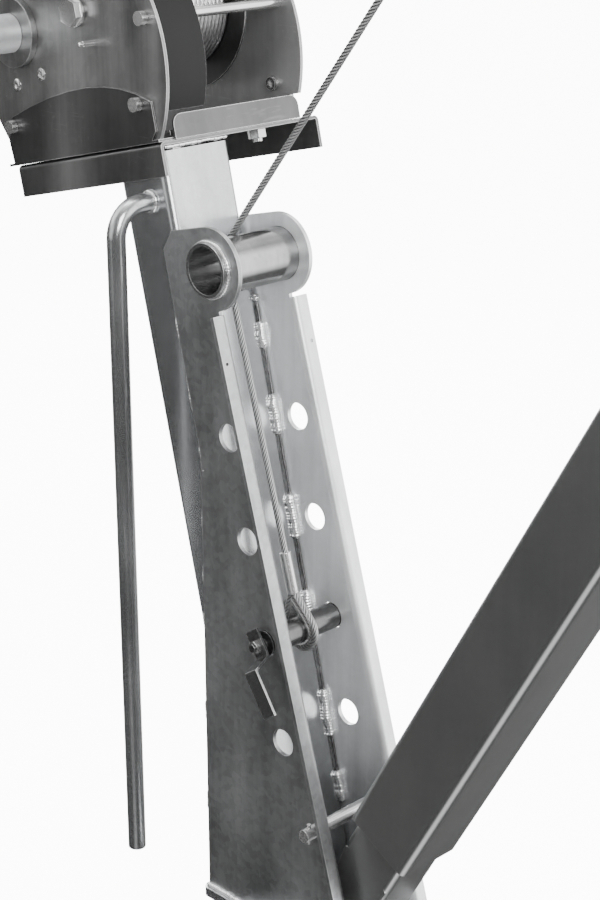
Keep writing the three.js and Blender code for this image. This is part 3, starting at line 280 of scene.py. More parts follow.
# %% [markdown]
# ## Shared effects
# Hot-dip galvanising leaves crystals of zinc, called spangle, that each catch the light a little
# differently. Rain and handling then leave streaks, and edges are rubbed bright. Four node groups hold
# these effects, so that every finish uses the same ones at its own strength.

# %% Group helper
def new_group(name, inputs, outputs):
    """A shader node group. inputs are (name, default), outputs are names, and all of them are numbers."""
    tree = bpy.data.node_groups.new(name, "ShaderNodeTree")
    for socket, default in inputs:
        made = tree.interface.new_socket(socket, in_out="INPUT", socket_type="NodeSocketFloat")
        made.default_value = default
    for socket in outputs:
        tree.interface.new_socket(socket, in_out="OUTPUT", socket_type="NodeSocketFloat")
    entry = tree.nodes.new("NodeGroupInput").outputs
    leave = tree.nodes.new("NodeGroupOutput").inputs
    return tree, entry, leave


def stretched(tree, scale):
    """Object coordinates, stretched along each axis."""
    place = add(tree, "ShaderNodeTexCoord").outputs["Object"]
    return add(tree, "ShaderNodeMapping", None, {0: place, 3: scale}).outputs[0]


# %% Spangle
spangle, entry, leave = new_group("zinc_spangle", [("Scale", 90.0)], ["Shade", "Height"])
place = stretched(spangle, (1, 1, 1))
bent = add(spangle, "ShaderNodeTexNoise", None, {"Vector": place, "Scale": 60.0, "Detail": 2.0})
offset = add(spangle, "ShaderNodeVectorMath", {"operation": "SCALE"}, {0: bent.outputs["Color"], 3: 0.012})
moved = add(spangle, "ShaderNodeVectorMath", {"operation": "ADD"}, {0: place, 1: offset.outputs[0]})
crystal = add(spangle, "ShaderNodeTexVoronoi", None, {"Vector": moved.outputs[0], "Scale": entry["Scale"]})
tone = add(spangle, "ShaderNodeSeparateColor", None, {0: crystal.outputs["Color"]}).outputs[0]
grain = add(spangle, "ShaderNodeTexNoise", None, {"Vector": place, "Scale": 700.0, "Detail": 3.0}).outputs[0]
for socket, grain_share in (("Shade", 0.3), ("Height", 0.5)):
    cells = math_node(spangle, "MULTIPLY", tone, 1 - grain_share)
    spangle.links.new(math_node(spangle, "MULTIPLY_ADD", grain, grain_share, cells), leave[socket])
print("group", spangle.name)

# %% Streaks
streaks, entry, leave = new_group("weather_streaks", [("Scale", 1.0)], ["Mask", "Cloud"])
run = stretched(streaks, (26, 26, 2.2))
scaled = add(streaks, "ShaderNodeVectorMath", {"operation": "SCALE"}, {0: run, 3: entry["Scale"]}).outputs[0]
fine = {"Vector": scaled, "Scale": 1.0, "Detail": 6.0, "Roughness": 0.62}
lines = add(streaks, "ShaderNodeTexNoise", None, fine)
broad = {"Vector": stretched(streaks, (9, 9, 6)), "Scale": 1.0, "Detail": 5.0}
cloud = add(streaks, "ShaderNodeTexNoise", None, broad)
streaks.links.new(ramp(streaks, lines.outputs[0], (0.3, 0.0), (0.7, 1.0)), leave["Mask"])
streaks.links.new(ramp(streaks, cloud.outputs[0], (0.26, 0.0), (0.74, 1.0)), leave["Cloud"])
print("group", streaks.name)

# %% Scratches
scratches, entry, leave = new_group("fine_scratches", [("Scale", 1.0), ("Amount", 0.5)], ["Mask"])
STROKE_TURN = 0.35
strokes = []
for stretch in [(420, 30, 26), (24, 38, 460), (160, 30, 150)]:
    place = add(scratches, "ShaderNodeTexCoord").outputs["Object"]
    turned_place = {0: place, 2: (0.0, STROKE_TURN * len(strokes), 0.0), 3: stretch}
    way = add(scratches, "ShaderNodeMapping", None, turned_place).outputs[0]
    sized = {0: way, 3: entry["Scale"]}
    scaled = add(scratches, "ShaderNodeVectorMath", {"operation": "SCALE"}, sized).outputs[0]
    noise = add(scratches, "ShaderNodeTexNoise", None, {"Vector": scaled, "Scale": 1.0, "Detail": 2.0})
    strokes.append(ramp(scratches, noise.outputs[0], (0.64, 0.0), (0.7, 1.0)))
total = math_node(scratches, "ADD", math_node(scratches, "ADD", *strokes[:2]), strokes[2], clamp=True)
spread = {"Vector": stretched(scratches, (14, 14, 14)), "Scale": 1.0}
patch = add(scratches, "ShaderNodeTexNoise", None, spread).outputs[0]
total = math_node(scratches, "MULTIPLY", total, ramp(scratches, patch, (0.5, 0.0), (0.62, 1.0)))
scratches.links.new(math_node(scratches, "MULTIPLY", total, entry["Amount"]), leave["Mask"])
print("group", scratches.name)

# %% Edge wear
edge_wear, entry, leave = new_group("edge_wear", [("Radius", 0.0015), ("Amount", 1.0)], ["Mask"])
rounded = add(edge_wear, "ShaderNodeBevel", {"samples": 4}, {"Radius": entry["Radius"]}).outputs[0]
flat = add(edge_wear, "ShaderNodeNewGeometry").outputs["Normal"]
agree = add(edge_wear, "ShaderNodeVectorMath", {"operation": "DOT_PRODUCT"}, {0: rounded, 1: flat})
turn = math_node(edge_wear, "SUBTRACT", 1.0, agree.outputs["Value"])
ragged = {"Vector": stretched(edge_wear, (120, 120, 120)), "Scale": 1.0}
rough = add(edge_wear, "ShaderNodeTexNoise", None, ragged).outputs[0]
TURN_GAIN = 14.0
worn = math_node(edge_wear, "MULTIPLY", math_node(edge_wear, "MULTIPLY", turn, TURN_GAIN), rough, clamp=True)
edge_wear.links.new(math_node(edge_wear, "MULTIPLY", worn, entry["Amount"], clamp=True), leave["Mask"])
print("group", edge_wear.name)

# %% [markdown]
# ## Metal finishes
# All the steel on this crane is zinc in one state or another, so one recipe makes every metal finish: a
# dark and a bright tone that spangle, clouds and streaks mix, scratches that show brighter metal, and edges
# rubbed clean. The numbers for each finish are its own. Roughness follows the same masks, because dull
# zinc is also the rougher zinc. Each finish keeps its roughness on one side of about 0.27, where the
# denoiser starts to treat a surface as a mirror, so that no outline shows between its patches.

# %% Metal recipe
def place_group(tree, group, **values):
    made = tree.nodes.new("ShaderNodeGroup")
    made.node_tree = group
    for key, value in values.items():
        made.inputs[key].default_value = value
    return made.outputs


RUBBED = grey(0.74)
WEAR_RADIUS = 0.0016
STREAK_SHARE = 0.5
CLOUD_SHARE = 0.65
RUBBED_SMOOTHER = -0.01
SPANGLE_DEPTH = 0.0006


def metal(name, tones, roughness, spangle_size, wear, scratch, relief, metallic=0.93, streak=1.0):
    """tones and roughness run from low to high, spangle_size is its (scale, share of the tone)."""
    material = bpy.data.materials.new(name)
    material.use_nodes = True
    tree = material.node_tree
    surface = tree.nodes["Principled BSDF"]
    spangle_scale, spangle_share = spangle_size
    crystals = place_group(tree, spangle, Scale=spangle_scale)
    weather = place_group(tree, streaks, Scale=streak)
    marks = place_group(tree, scratches, Scale=1.0, Amount=scratch)["Mask"]
    edges = place_group(tree, edge_wear, Radius=WEAR_RADIUS, Amount=wear)["Mask"]
    cloudy = math_node(tree, "MULTIPLY", weather["Cloud"], 1 - STREAK_SHARE)
    stain = math_node(tree, "MULTIPLY_ADD", weather["Mask"], STREAK_SHARE, cloudy)
    share = math_node(tree, "MULTIPLY", crystals["Shade"], spangle_share)
    tone = math_node(tree, "MULTIPLY_ADD", stain, 1 - spangle_share, share, clamp=True)
    worked = math_node(tree, "MAXIMUM", marks, edges)
    clean = mix_colour(tree, worked, mix_colour(tree, tone, *tones), RUBBED)
    tree.links.new(clean, surface.inputs["Base Color"])
    low, high = roughness
    toned = math_node(tree, "MULTIPLY", tone, 1 - CLOUD_SHARE)
    patches = math_node(tree, "MULTIPLY_ADD", weather["Cloud"], CLOUD_SHARE, toned)
    dull = math_node(tree, "MULTIPLY_ADD", patches, high - low, low)
    dull = math_node(tree, "MULTIPLY_ADD", worked, RUBBED_SMOOTHER, dull, clamp=True)
    tree.links.new(dull, surface.inputs["Roughness"])
    surface.inputs["Metallic"].default_value = metallic
    height = math_node(tree, "SUBTRACT", crystals["Height"], marks)
    raised = {"Strength": relief, "Distance": SPANGLE_DEPTH, "Height": height}
    tree.links.new(add(tree, "ShaderNodeBump", None, raised).outputs[0], surface.inputs["Normal"])
    print("finish", name)
    return material


# %% Metals
# tones, roughness, (spangle scale, share), edge wear, scratches, relief, then metallic and streak scale
# The left cheek's finish is a darker copy of the galvanised zinc, as painted shade; the right cheek and the
# crank shaft take a brighter copy, as painted light and a painted highlight.
PAINTED_LIT_TONES = (grey(0.55, -0.02), grey(1.0, -0.01))
BRONZE_TONES = ((0.3, 0.17, 0.05, 1), (0.5, 0.31, 0.12, 1))
METALS = {
    "mast_zinc": ((grey(0.32, -0.02), grey(0.62, -0.015)), (0.14, 0.265), (110, 0.2), 0.8, 0.05, 0.05),
    "cheek_zinc_painted_shade": ((grey(0.13, -0.02), grey(0.56, -0.015)), (0.29, 0.46), (140, 0.25), 0.9, 0.08, 0.12),
    "zinc_painted_lit": (PAINTED_LIT_TONES, (0.29, 0.42), (120, 0.1), 0.8, 0.05, 0.06, 0.7, 1.6),
    "tube_zinc": ((grey(0.18, -0.01), grey(0.42)), (0.1, 0.2), (160, 0.15), 0.8, 0.1, 0.06),
    "handle_zinc": ((grey(0.16, -0.02), grey(0.62, -0.01)), (0.16, 0.26), (180, 0.1), 0.2, 0.03, 0.04),
    "winch_zinc": ((grey(0.05, -0.01), grey(0.46)), (0.29, 0.38), (75, 0.1), 1.0, 0.1, 0.02),
    "plate_zinc": ((grey(0.2, -0.01), grey(0.4)), (0.29, 0.42), (90, 0.1), 1.0, 0.2, 0.04, 0.6),
    "bracket_zinc": ((grey(0.08, -0.01), grey(0.22)), (0.29, 0.36), (75, 0.1), 0.8, 0.05, 0.02),
    "tab_zinc": ((grey(0.12), grey(0.3)), (0.14, 0.265), (260, 0.15), 1.0, 0.1, 0.04),
    "cradle_zinc": ((grey(0.06, -0.01), grey(0.16)), (0.29, 0.36), (75, 0.1), 1.0, 0.05, 0.02),
    "jib_zinc": ((grey(0.26, -0.01), grey(0.34)), (0.29, 0.34), (160, 0.08), 0.5, 0.0, 0.03, 0.93, 0.6),
    "bright_zinc": ((grey(0.5), grey(0.8, 0.01)), (0.14, 0.265), (260, 0.15), 0.5, 0.1, 0.04),
    "pin_zinc": ((grey(0.07), grey(0.18)), (0.14, 0.265), (200, 0.15), 0.8, 0.1, 0.05),
    "weld_zinc": ((grey(0.8), grey(1.0)), (0.12, 0.265), (420, 0.3), 0.2, 0.0, 0.3, 0.9),
    "machined_steel": ((grey(0.3, 0.02), grey(0.5)), (0.29, 0.4), (300, 0.2), 0.6, 0.1, 0.1),
    "bush_bronze": (BRONZE_TONES, (0.29, 0.42), (300, 0.2), 0.3, 0.1, 0.1),
}
finishes = {name: metal(name, *row) for name, row in METALS.items()}

# %% [markdown]
# ## Coating and rope finishes
# The gear cover is powder coated, a dark skin with a faint orange-peel bump. A rope's strands are made as
# geometry, and only the wires in each strand are a bump, drawn round the strand with its own UV map. The
# grooves between strands are darkened as painted shade, found from how far a point lies off the rope's
# middle.

# %% Coating and plastic
COAT_WEAR_RADIUS = 0.0012
COAT_WEAR = 0.7
PRIMER = grey(0.3)
DUST_LIFT = 2.2


def coating(name, colour, roughness, grain_scale, strength):
    material = bpy.data.materials.new(name)
    material.use_nodes = True
    tree = material.node_tree
    surface = tree.nodes["Principled BSDF"]
    skin_grain = {"Vector": stretched(tree, (1, 1, 1)), "Scale": grain_scale, "Detail": 3.0}
    peel = add(tree, "ShaderNodeTexNoise", None, skin_grain).outputs[0]
    dust = place_group(tree, streaks, Scale=1.4)["Cloud"]
    edges = place_group(tree, edge_wear, Radius=COAT_WEAR_RADIUS, Amount=COAT_WEAR)["Mask"]
    dusty = grey(colour[1] * DUST_LIFT)
    soiled = mix_colour(tree, math_node(tree, "MULTIPLY", dust, 0.4), colour, dusty)
    tree.links.new(mix_colour(tree, edges, soiled, PRIMER), surface.inputs["Base Color"])
    tree.links.new(math_node(tree, "MULTIPLY_ADD", dust, 0.15, roughness), surface.inputs["Roughness"])
    relief = add(tree, "ShaderNodeBump", None, {"Strength": strength, "Distance": 0.0004, "Height": peel})
    tree.links.new(relief.outputs[0], surface.inputs["Normal"])
    surface.inputs["Specular IOR Level"].default_value = 0.12
    print("finish", name)
    return material


finishes["cover_coat"] = coating("cover_coat", grey(0.012), 0.42, 900, 0.1)
finishes["grip_plastic"] = coating("grip_plastic", grey(0.02), 0.5, 1600, 0.3)

# %% Wire rope
WIRE_SLANT = 0.9


def rope_finish(name, dark, bright, wires, groove, crown):
    """wires slanted lines round each strand, whose U runs round it and V along it in diameters.
    Between the depths groove and crown, in metres off the rope's middle, a strand goes from dark painted
    groove shade to its clean colour."""
    material = bpy.data.materials.new(name)
    material.use_nodes = True
    tree = material.node_tree
    surface = tree.nodes["Principled BSDF"]
    laid = add(tree, "ShaderNodeUVMap", {"uv_map": "strand"}).outputs[0]
    round_it, along_it = add(tree, "ShaderNodeSeparateXYZ", None, {0: laid}).outputs[:2]
    turn = math_node(tree, "MULTIPLY_ADD", round_it, wires, math_node(tree, "MULTIPLY", along_it, WIRE_SLANT))
    wave = math_node(tree, "ABSOLUTE", math_node(tree, "SINE", math_node(tree, "MULTIPLY", turn, math.pi)))
    dirt = place_group(tree, streaks, Scale=3.0)["Cloud"]
    lit = math_node(tree, "MULTIPLY", wave, math_node(tree, "MULTIPLY_ADD", dirt, -0.35, 1.0))
    # Painted shade: the strands are darkened towards the grooves between them, by how far each point stands
    # off the rope's middle.
    depth = add(tree, "ShaderNodeAttribute", {"attribute_name": "depth"}).outputs["Fac"]
    painted_groove_shade = add(tree, "ShaderNodeMapRange", None, {0: depth, 1: groove, 2: crown}).outputs[0]
    shown = math_node(tree, "MULTIPLY", math_node(tree, "MULTIPLY_ADD", lit, 0.4, 0.6), painted_groove_shade)
    tree.links.new(mix_colour(tree, shown, dark, bright), surface.inputs["Base Color"])
    tree.links.new(math_node(tree, "MULTIPLY_ADD", painted_groove_shade, -0.25, 0.55), surface.inputs["Roughness"])
    surface.inputs["Metallic"].default_value = 1.0
    relief = add(tree, "ShaderNodeBump", None, {"Strength": 0.8, "Distance": 0.0003, "Height": wave})
    tree.links.new(relief.outputs[0], surface.inputs["Normal"])
    return material


finishes["rope_steel"] = rope_finish("rope_steel", grey(0.03), grey(0.62), 7.0, 0.0028, 0.0038)
finishes["hoist_steel"] = rope_finish("hoist_steel", grey(0.04), grey(0.85), 9.0, 0.0004, 0.0022)
print(len(finishes), "finishes")

# %% [markdown]
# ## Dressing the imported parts
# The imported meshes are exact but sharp. Modifiers leave them as they are and soften what is drawn: doubled
# corners are welded, flat stretches are made single faces, and a bevel of half a millimetre rounds the
# edges, which is what lets a folded sheet catch a line of light. A small geometry-node group then shades
# round stretches smooth and keeps real edges crisp, and weighted normals keep the broad faces flat.

# %% Smooth by angle
SMOOTH_UNDER = math.radians(34)
smooth = bpy.data.node_groups.new("smooth_by_angle", "GeometryNodeTree")
smooth.interface.new_socket("Geometry", in_out="INPUT", socket_type="NodeSocketGeometry")
smooth.interface.new_socket("Geometry", in_out="OUTPUT", socket_type="NodeSocketGeometry")
start = smooth.nodes.new("NodeGroupInput").outputs[0]
finish_socket = smooth.nodes.new("NodeGroupOutput").inputs[0]
bend_angle = add(smooth, "GeometryNodeInputMeshEdgeAngle").outputs["Unsigned Angle"]
under = {"data_type": "FLOAT", "operation": "LESS_EQUAL"}
gentle = add(smooth, "FunctionNodeCompare", under, {0: bend_angle, 1: SMOOTH_UNDER}).outputs[0]
shaded = start
for domain, chosen in (("FACE", True), ("EDGE", gentle)):
    inputs = {"Geometry": shaded, "Shade Smooth": chosen}
    shaded = add(smooth, "GeometryNodeSetShadeSmooth", {"domain": domain}, inputs).outputs[0]
smooth.links.new(shaded, finish_socket)
print("smoothing under", round(math.degrees(SMOOTH_UNDER)), "degrees")

# %% Dress every part
SPECIAL = {
    # Darker zinc on the left cheek is painted shade; brighter zinc on the right cheek and the crank shaft is
    # painted light and a painted highlight.
    "cheek_plate_left": "cheek_zinc_painted_shade",
    "cheek_plate_right": "zinc_painted_lit",
    "guide_tube": "tube_zinc",
    "turning_handle": "handle_zinc",
    "winch_bracket": "bracket_zinc",
    "pull_tab": "tab_zinc",
    "winch_cradle": "cradle_zinc",
    "crank_shaft": "zinc_painted_lit",
    "rope_drum": "cradle_zinc",
    "winch_side_right": "plate_zinc",
    "jib_outer_tube": "jib_zinc",
    "jib_arm": "jib_zinc",
    "head_plate_left": "jib_zinc",
    "head_plate_right": "jib_zinc",
    "adjusting_pin": "pin_zinc",
}
BY_SLOT = {
    "galvanised": "mast_zinc",
    "dark_zinc": "winch_zinc",
    "zinc_plate": "bright_zinc",
    "grey_paint": "cover_coat",
    "wire_rope": "rope_steel",
    "cast_steel": "machined_steel",
    "bronze": "bush_bronze",
    "black_plastic": "grip_plastic",
}
slot_of = {row["node"]: row["material_slot"] for row in frame["record"]["subparts"]}
FINE = {"drum_gear", "pinion", "ratchet_wheel", "stop_rod_roll_pin", "gear_cover"}
FINE_BEVEL = 0.0003
PLATE_BEVEL = 0.0006
CORNER_GAP = 0.00002
FLAT_UNDER = math.radians(0.6)
EDGE_OVER = math.radians(38)


def dress(node, bevel):
    part = nodes[node]
    part.data.materials.clear()
    part.data.materials.append(finishes[SPECIAL.get(node, BY_SLOT[slot_of[node]])])
    join = part.modifiers.new("join_corners", "WELD")
    join.merge_threshold = CORNER_GAP
    flat = part.modifiers.new("flat_faces", "DECIMATE")
    flat.decimate_type = "DISSOLVE"
    flat.angle_limit = FLAT_UNDER
    soft = part.modifiers.new("soft_edges", "BEVEL")
    soft.width = bevel
    soft.segments = 2
    soft.limit_method = "ANGLE"
    soft.angle_limit = EDGE_OVER
    soft.use_clamp_overlap = True
    shade = part.modifiers.new("smooth_by_angle", "NODES")
    shade.node_group = smooth
    even = part.modifiers.new("flat_shading", "WEIGHTED_NORMAL")
    even.keep_sharp = True


for name in sorted(nodes):
    dress(name, FINE_BEVEL if name in FINE else PLATE_BEVEL)
print(len(nodes), "parts dressed")

# %% [markdown]
# ## Sweeping along a route
# Ropes and welds are both a section carried along a route. The helper keeps the section from twisting by
# turning each frame only as much as the route turns, and it can vary the radius on the way, which is what
# makes a weld bead out of a plain tube.

# %% Sweep helpers
def resample(points, step):
    """The same route with evenly spaced points."""
    lengths = [0.0]
    for first, second in zip(points, points[1:]):
        lengths.append(lengths[-1] + (second - first).length)
    count = max(2, round(lengths[-1] / step) + 1)
    route, index = [], 0
    for k in range(count):
        distance = lengths[-1] * k / (count - 1)
        while index < len(points) - 2 and lengths[index + 1] < distance:
            index += 1
        span = lengths[index + 1] - lengths[index]
        route.append(points[index].lerp(points[index + 1], (distance - lengths[index]) / max(span, 1e-9)))
    return route


def frames_along(route, closed=False):
    """(tangent, normal, binormal) at each point, with no twist between neighbours."""
    count = len(route)
    tangents = []
    for k in range(count):
        before = route[(k - 1) % count] if closed else route[max(k - 1, 0)]
        after = route[(k + 1) % count] if closed else route[min(k + 1, count - 1)]
        tangents.append((after - before).normalized())
    normal = tangents[0].orthogonal().normalized()
    made = []
    for tangent in tangents:
        normal = (normal - tangent * normal.dot(tangent)).normalized()
        made.append((tangent, normal, tangent.cross(normal)))
    return made


class Weave:
    """Collects swept tubes and turns them into one mesh with a UV map and a depth for each corner."""

    def __init__(self):
        self.corners, self.faces, self.uvs, self.depths = [], [], [], []

    def tube(self, centres, frames, radii, sides, closed=False, core=None):
        """core is the line that a strand winds round; how far a corner stands off it is kept as its depth."""
        first = len(self.corners)
        count = len(centres)
        distance, run = 0.0, [0.0]
        for a, b in zip(centres, centres[1:]):
            distance += (b - a).length
            run.append(distance)
        for centre, (_, normal, binormal), radius in zip(centres, frames, radii):
            for k in range(sides):
                angle = 2 * math.pi * k / sides
                outwards = normal * math.cos(angle) + binormal * math.sin(angle)
                self.corners.append(centre + outwards * radius)
        ring_cores = core or centres
        for ring, centre in enumerate(ring_cores):
            for corner in self.corners[first + ring * sides : first + (ring + 1) * sides]:
                self.depths.append((corner - centre).length)
        rings = count if closed else count - 1
        for ring in range(rings):
            here, there = first + ring * sides, first + ((ring + 1) % count) * sides
            for k in range(sides):
                after = (k + 1) % sides
                self.faces.append((here + k, here + after, there + after, there + k))
                low = run[ring] / (2 * radii[ring])
                high = (run[ring + 1] if ring + 1 < count else run[ring]) / (2 * radii[ring])
                left, right = k / sides, (k + 1) / sides
                self.uvs.append(((left, low), (right, low), (right, high), (left, high)))
        if not closed:
            for ring, order in ((0, -1), (count - 1, 1)):
                cap = [first + ring * sides + k for k in range(sides)]
                self.faces.append(tuple(cap[::order]))
                self.uvs.append(tuple((0.5, 0.5) for _ in cap))

    def finish(self, name, material):
        mesh = bpy.data.meshes.new(name)
        mesh.from_pydata([tuple(c) for c in self.corners], [], self.faces)
        layer = mesh.uv_layers.new(name="strand")
        layer.data.foreach_set("uv", [v for face in self.uvs for corner in face for v in corner])
        depth = mesh.attributes.new("depth", "FLOAT", "POINT")
        depth.data.foreach_set("value", self.depths)
        mesh.materials.append(finishes[material])
        mesh.shade_smooth()
        made = bpy.data.objects.new(name, mesh)
        scene.collection.objects.link(made)
        print(name, len(mesh.polygons), "faces")
        return made


# %% [markdown]
# ## The stay cable
# A wire rope is six strands laid in a spiral round a core. Each strand is swept along its own helix round
# the cable's route: up from the adjusting pin, behind the guide tube, and out to the jib's head. It is
# attached to neither the mast nor the jib, because a stay goes slack when the jib is lifted off it.

# %% Rope helper
ROPE_RADIUS = 0.004
STRANDS = 6
STRAND_SIDES = 8
STRAND_SHARE = 0.345
CORE_SHARE = 0.6
LAY = 0.031


def lay_rope(name, points, step=0.0022):
    """Strands round a core. STRAND_SHARE and CORE_SHARE are parts of the rope's and the orbit's radius."""
    route = resample(points, step)
    frames = frames_along(route)
    strand = ROPE_RADIUS * STRAND_SHARE
    orbit = ROPE_RADIUS - strand
    weave = Weave()
    run = 0.0
    turns = []
    for k, point in enumerate(route):
        run += (point - route[k - 1]).length if k else 0.0
        turns.append(2 * math.pi * run / LAY)
    for i in range(STRANDS):
        phase = 2 * math.pi * i / STRANDS
        centres = [
            point + (normal * math.cos(turn + phase) + binormal * math.sin(turn + phase)) * orbit
            for point, (_, normal, binormal), turn in zip(route, frames, turns)
        ]
        weave.tube(centres, frames, [strand] * len(route), STRAND_SIDES, core=route)
    weave.tube(route, frames, [orbit * CORE_SHARE] * len(route), STRANDS)
    return weave.finish(name, "rope_steel")


def in_plane(centre, angle, radius):
    return centre + Vector((math.cos(angle), 0, math.sin(angle))) * radius


# %% Stay cable
CLEARANCE = 0.0003
TOUCH_STEPS = 14
INTO_FERRULE = 0.012
wrap = half_size("guide_tube").x + ROPE_RADIUS + CLEARANCE


def touch(point, turn):
    """The angle where a straight run from point meets the wrap, on the side that turn names."""
    away = point - guide
    return math.atan2(away.z, away.x) + turn * math.acos(wrap / away.length)


low_touch = touch(pin, -1) + 2 * math.pi
high_touch = touch(anchor, 1)
swing = high_touch - low_touch
wrapped = [in_plane(guide, low_touch + swing * k / TOUCH_STEPS, wrap) for k in range(TOUCH_STEPS + 1)]
low_way = (wrapped[0] - pin).normalized()
high_way = (wrapped[-1] - anchor).normalized()
low_end = middle("stay_ferrule_lower") + low_way * INTO_FERRULE
high_end = middle("stay_ferrule_upper") + high_way * INTO_FERRULE
stay = lay_rope("stay_rope", [low_end, *wrapped, high_end])
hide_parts("stay_cable")
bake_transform(stay)

# %% [markdown]
# ## The eyes at each end
# At each end the rope turns back round a thimble and into a pressed ferrule, so the eye is drawn as a loop
# of the same rope, following the thimble's outside.

# %% Rope eyes
PIN_TO_THIMBLE = 0.001
THIMBLE_WALL = 0.003
ROPE_TO_THIMBLE = 0.0002
NECK_RISE = 0.018
APEX_RISE = 0.0095
NECK_HALF_WIDTH = 0.0034
FERRULE_HALF_WIDTH = 0.0028
NECK = 0.009
FERRULE = 0.02
EYE_STEPS = 26


def eye_loop(name, centre, way, pin_radius, body, node):
    """A loop of rope round the pin at centre, closing towards way."""
    across = Vector((way.z, 0, -way.x))
    groove = pin_radius + PIN_TO_THIMBLE + THIMBLE_WALL + ROPE_RADIUS + ROPE_TO_THIMBLE
    rise = pin_radius + NECK_RISE
    opening = math.acos(groove / (rise + APEX_RISE))
    sweep = 2 * math.pi - 2 * opening
    neck = [(rise + FERRULE, FERRULE_HALF_WIDTH), (rise + NECK, NECK_HALF_WIDTH)]
    points = [way * along - across * aside for along, aside in neck]
    for k in range(EYE_STEPS + 1):
        angle = math.pi / 2 + opening + sweep * k / EYE_STEPS
        points.append(across * (math.cos(angle) * groove) + way * (math.sin(angle) * groove))
    points += [way * along + across * aside for along, aside in reversed(neck)]
    loop = lay_rope(name, [centre + p for p in points], step=0.002)
    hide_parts(node)
    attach(loop, body)


eye_loop("lower_rope_eye", pin, low_way, 0.015, "mast", "stay_loop_lower")
eye_loop("upper_rope_eye", anchor, high_way, 0.008, "jib", "stay_loop_upper")

# %% [markdown]
# ## The rope on the drum
# The hoist rope lies on the drum in neat turns, each one a rope's width from the last. The turns are one
# long helix, laid over a plain layer that closes the gaps, and the whole coil turns with the drum.

# %% Hoist rope
HOIST_RADIUS = 0.0029
HOIST_PITCH = 2 * HOIST_RADIUS * 1.02
COIL_STEPS = 44
COIL_INSET = 0.0002
UNDER_DEPTH = HOIST_RADIUS * 1.6
UNDER_INSET = 0.001
UNDER_SIDES = 48
drum = middle("rope_drum")
coil_low, coil_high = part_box("rope_winding")
outer_radius = (coil_high.x - coil_low.x) / 2
coil_radius = outer_radius - HOIST_RADIUS - COIL_INSET
width = coil_high.y - coil_low.y
turns = int(width / HOIST_PITCH)
coil_points = []
for k in range(turns * COIL_STEPS + 1):
    share = k / (turns * COIL_STEPS)
    across = coil_low.y + HOIST_RADIUS + (width - 2 * HOIST_RADIUS) * share
    centre = Vector((drum.x, across, drum.z))
    coil_points.append(in_plane(centre, 2 * math.pi * k / COIL_STEPS, coil_radius))
weave = Weave()
weave.tube(coil_points, frames_along(coil_points), [HOIST_RADIUS] * len(coil_points), 8)
under = [Vector((drum.x, y, drum.z)) for y in (coil_low.y + UNDER_INSET, coil_high.y - UNDER_INSET)]
weave.tube(under, frames_along(under), [outer_radius - UNDER_DEPTH] * 2, UNDER_SIDES)
hoist = weave.finish("hoist_rope_coil", "hoist_steel")
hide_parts("rope_winding")
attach(hoist, "drum")

# %% [markdown]
# ## Weld beads
# The plates are stitched to the spine with short welds, and rings of weld hold the guide tube, the foot and
# the handle. A bead is a swept tube that swells and shrinks in small ripples, as the puddle did, with a
# seeded wobble so that no two are alike. Along the seam between the stitches, a thin dark rod is laid in
# the corner as a painted shadow.

# %% Bead helper
luck = random.Random(7)
RIPPLE = 0.0034
BEAD_STEP = 0.0011
BEAD_SIDES = 10
RING_STEPS = 48


def bead(weave, points, radius, closed=False):
    """Drift and swell are slow random walks. They bend the bead and vary its radius on top of the ripple."""
    route = resample(points, BEAD_STEP)
    if closed:
        route = route[:-1]
    frames = frames_along(route, closed)
    phase = luck.random()
    radii, centres, run = [], [], 0.0
    drift = swell = 0.0
    for k, point in enumerate(route):
        run += (point - route[k - 1]).length if k else 0.0
        drift = 0.9 * drift + 0.1 * luck.uniform(-1, 1)
        swell = 0.8 * swell + 0.2 * luck.uniform(-1, 1)
        ripple = abs(math.sin(math.pi * (run / RIPPLE + phase)))
        ends = 1.0 if closed else min(1.0, (k + 1) / 4, (len(route) - k) / 4)
        uneven = 0.78 + 0.2 * ripple + 0.6 * drift + 0.35 * swell
        radii.append(radius * uneven * (0.35 + 0.65 * ends))
        _, normal, binormal = frames[k]
        centres.append(point + normal * (drift * radius * 0.7) + binormal * (swell * radius * 0.4))
    weave.tube(centres, frames, radii, BEAD_SIDES, closed)


def stitch(weave, place, spans, radius):
    """Short welds along a line: place(distance) gives a point, spans are from-to distances."""
    for start, end in spans:
        bead(weave, [place(start), place((start + end) / 2), place(end)], radius)


def ring(weave, centre, ring_radius, radius, axis="Y"):
    points = []
    for k in range(RING_STEPS + 1):
        angle = 2 * math.pi * k / RING_STEPS
        c, s = math.cos(angle) * ring_radius, math.sin(angle) * ring_radius
        points.append(centre + (Vector((c, 0, s)) if axis == "Y" else Vector((c, s, 0))))
    bead(weave, points, radius, closed=True)


# %% Mast welds
STOP_ROD_END = 0.020
CHEEK = 0.005
SPINE_FRONT = -0.051
HEAD_SEAM_UP = 0.1352
FRONT_STITCHES = [
    (-0.043, -0.051),
    (-0.074, -0.106),
    (-0.158, -0.205),
    (-0.275, -0.328),
    (-0.390, -0.453),
    (-0.511, -0.569),
    (-0.612, -0.650),
]
REAR_STITCHES = [(-0.047, -0.075), (-0.115, -0.157), (-0.194, -0.230)]
LOW_STITCHES = [(-0.282, -0.304), (-0.349, -0.371), (-0.409, -0.431), (-0.520, -0.545), (-0.640, -0.668)]
cheek_face = abs(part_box("stop_rod")[0].y) - STOP_ROD_END
inside = cheek_face - CHEEK
foot_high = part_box("foot_plate")[1]
mast_welds = Weave()


def front_seam(hand):
    return lambda up: on_mast(SPINE_FRONT + 0.0015, up, hand * (inside - 0.003))


def rear_seam(hand):
    return lambda up: on_mast(SPINE_FRONT - 0.0202, up, hand * (inside + 0.0022))


def low_seam(hand):
    return lambda drop: guide + Vector((-0.0208, hand * (inside + 0.0022), drop))


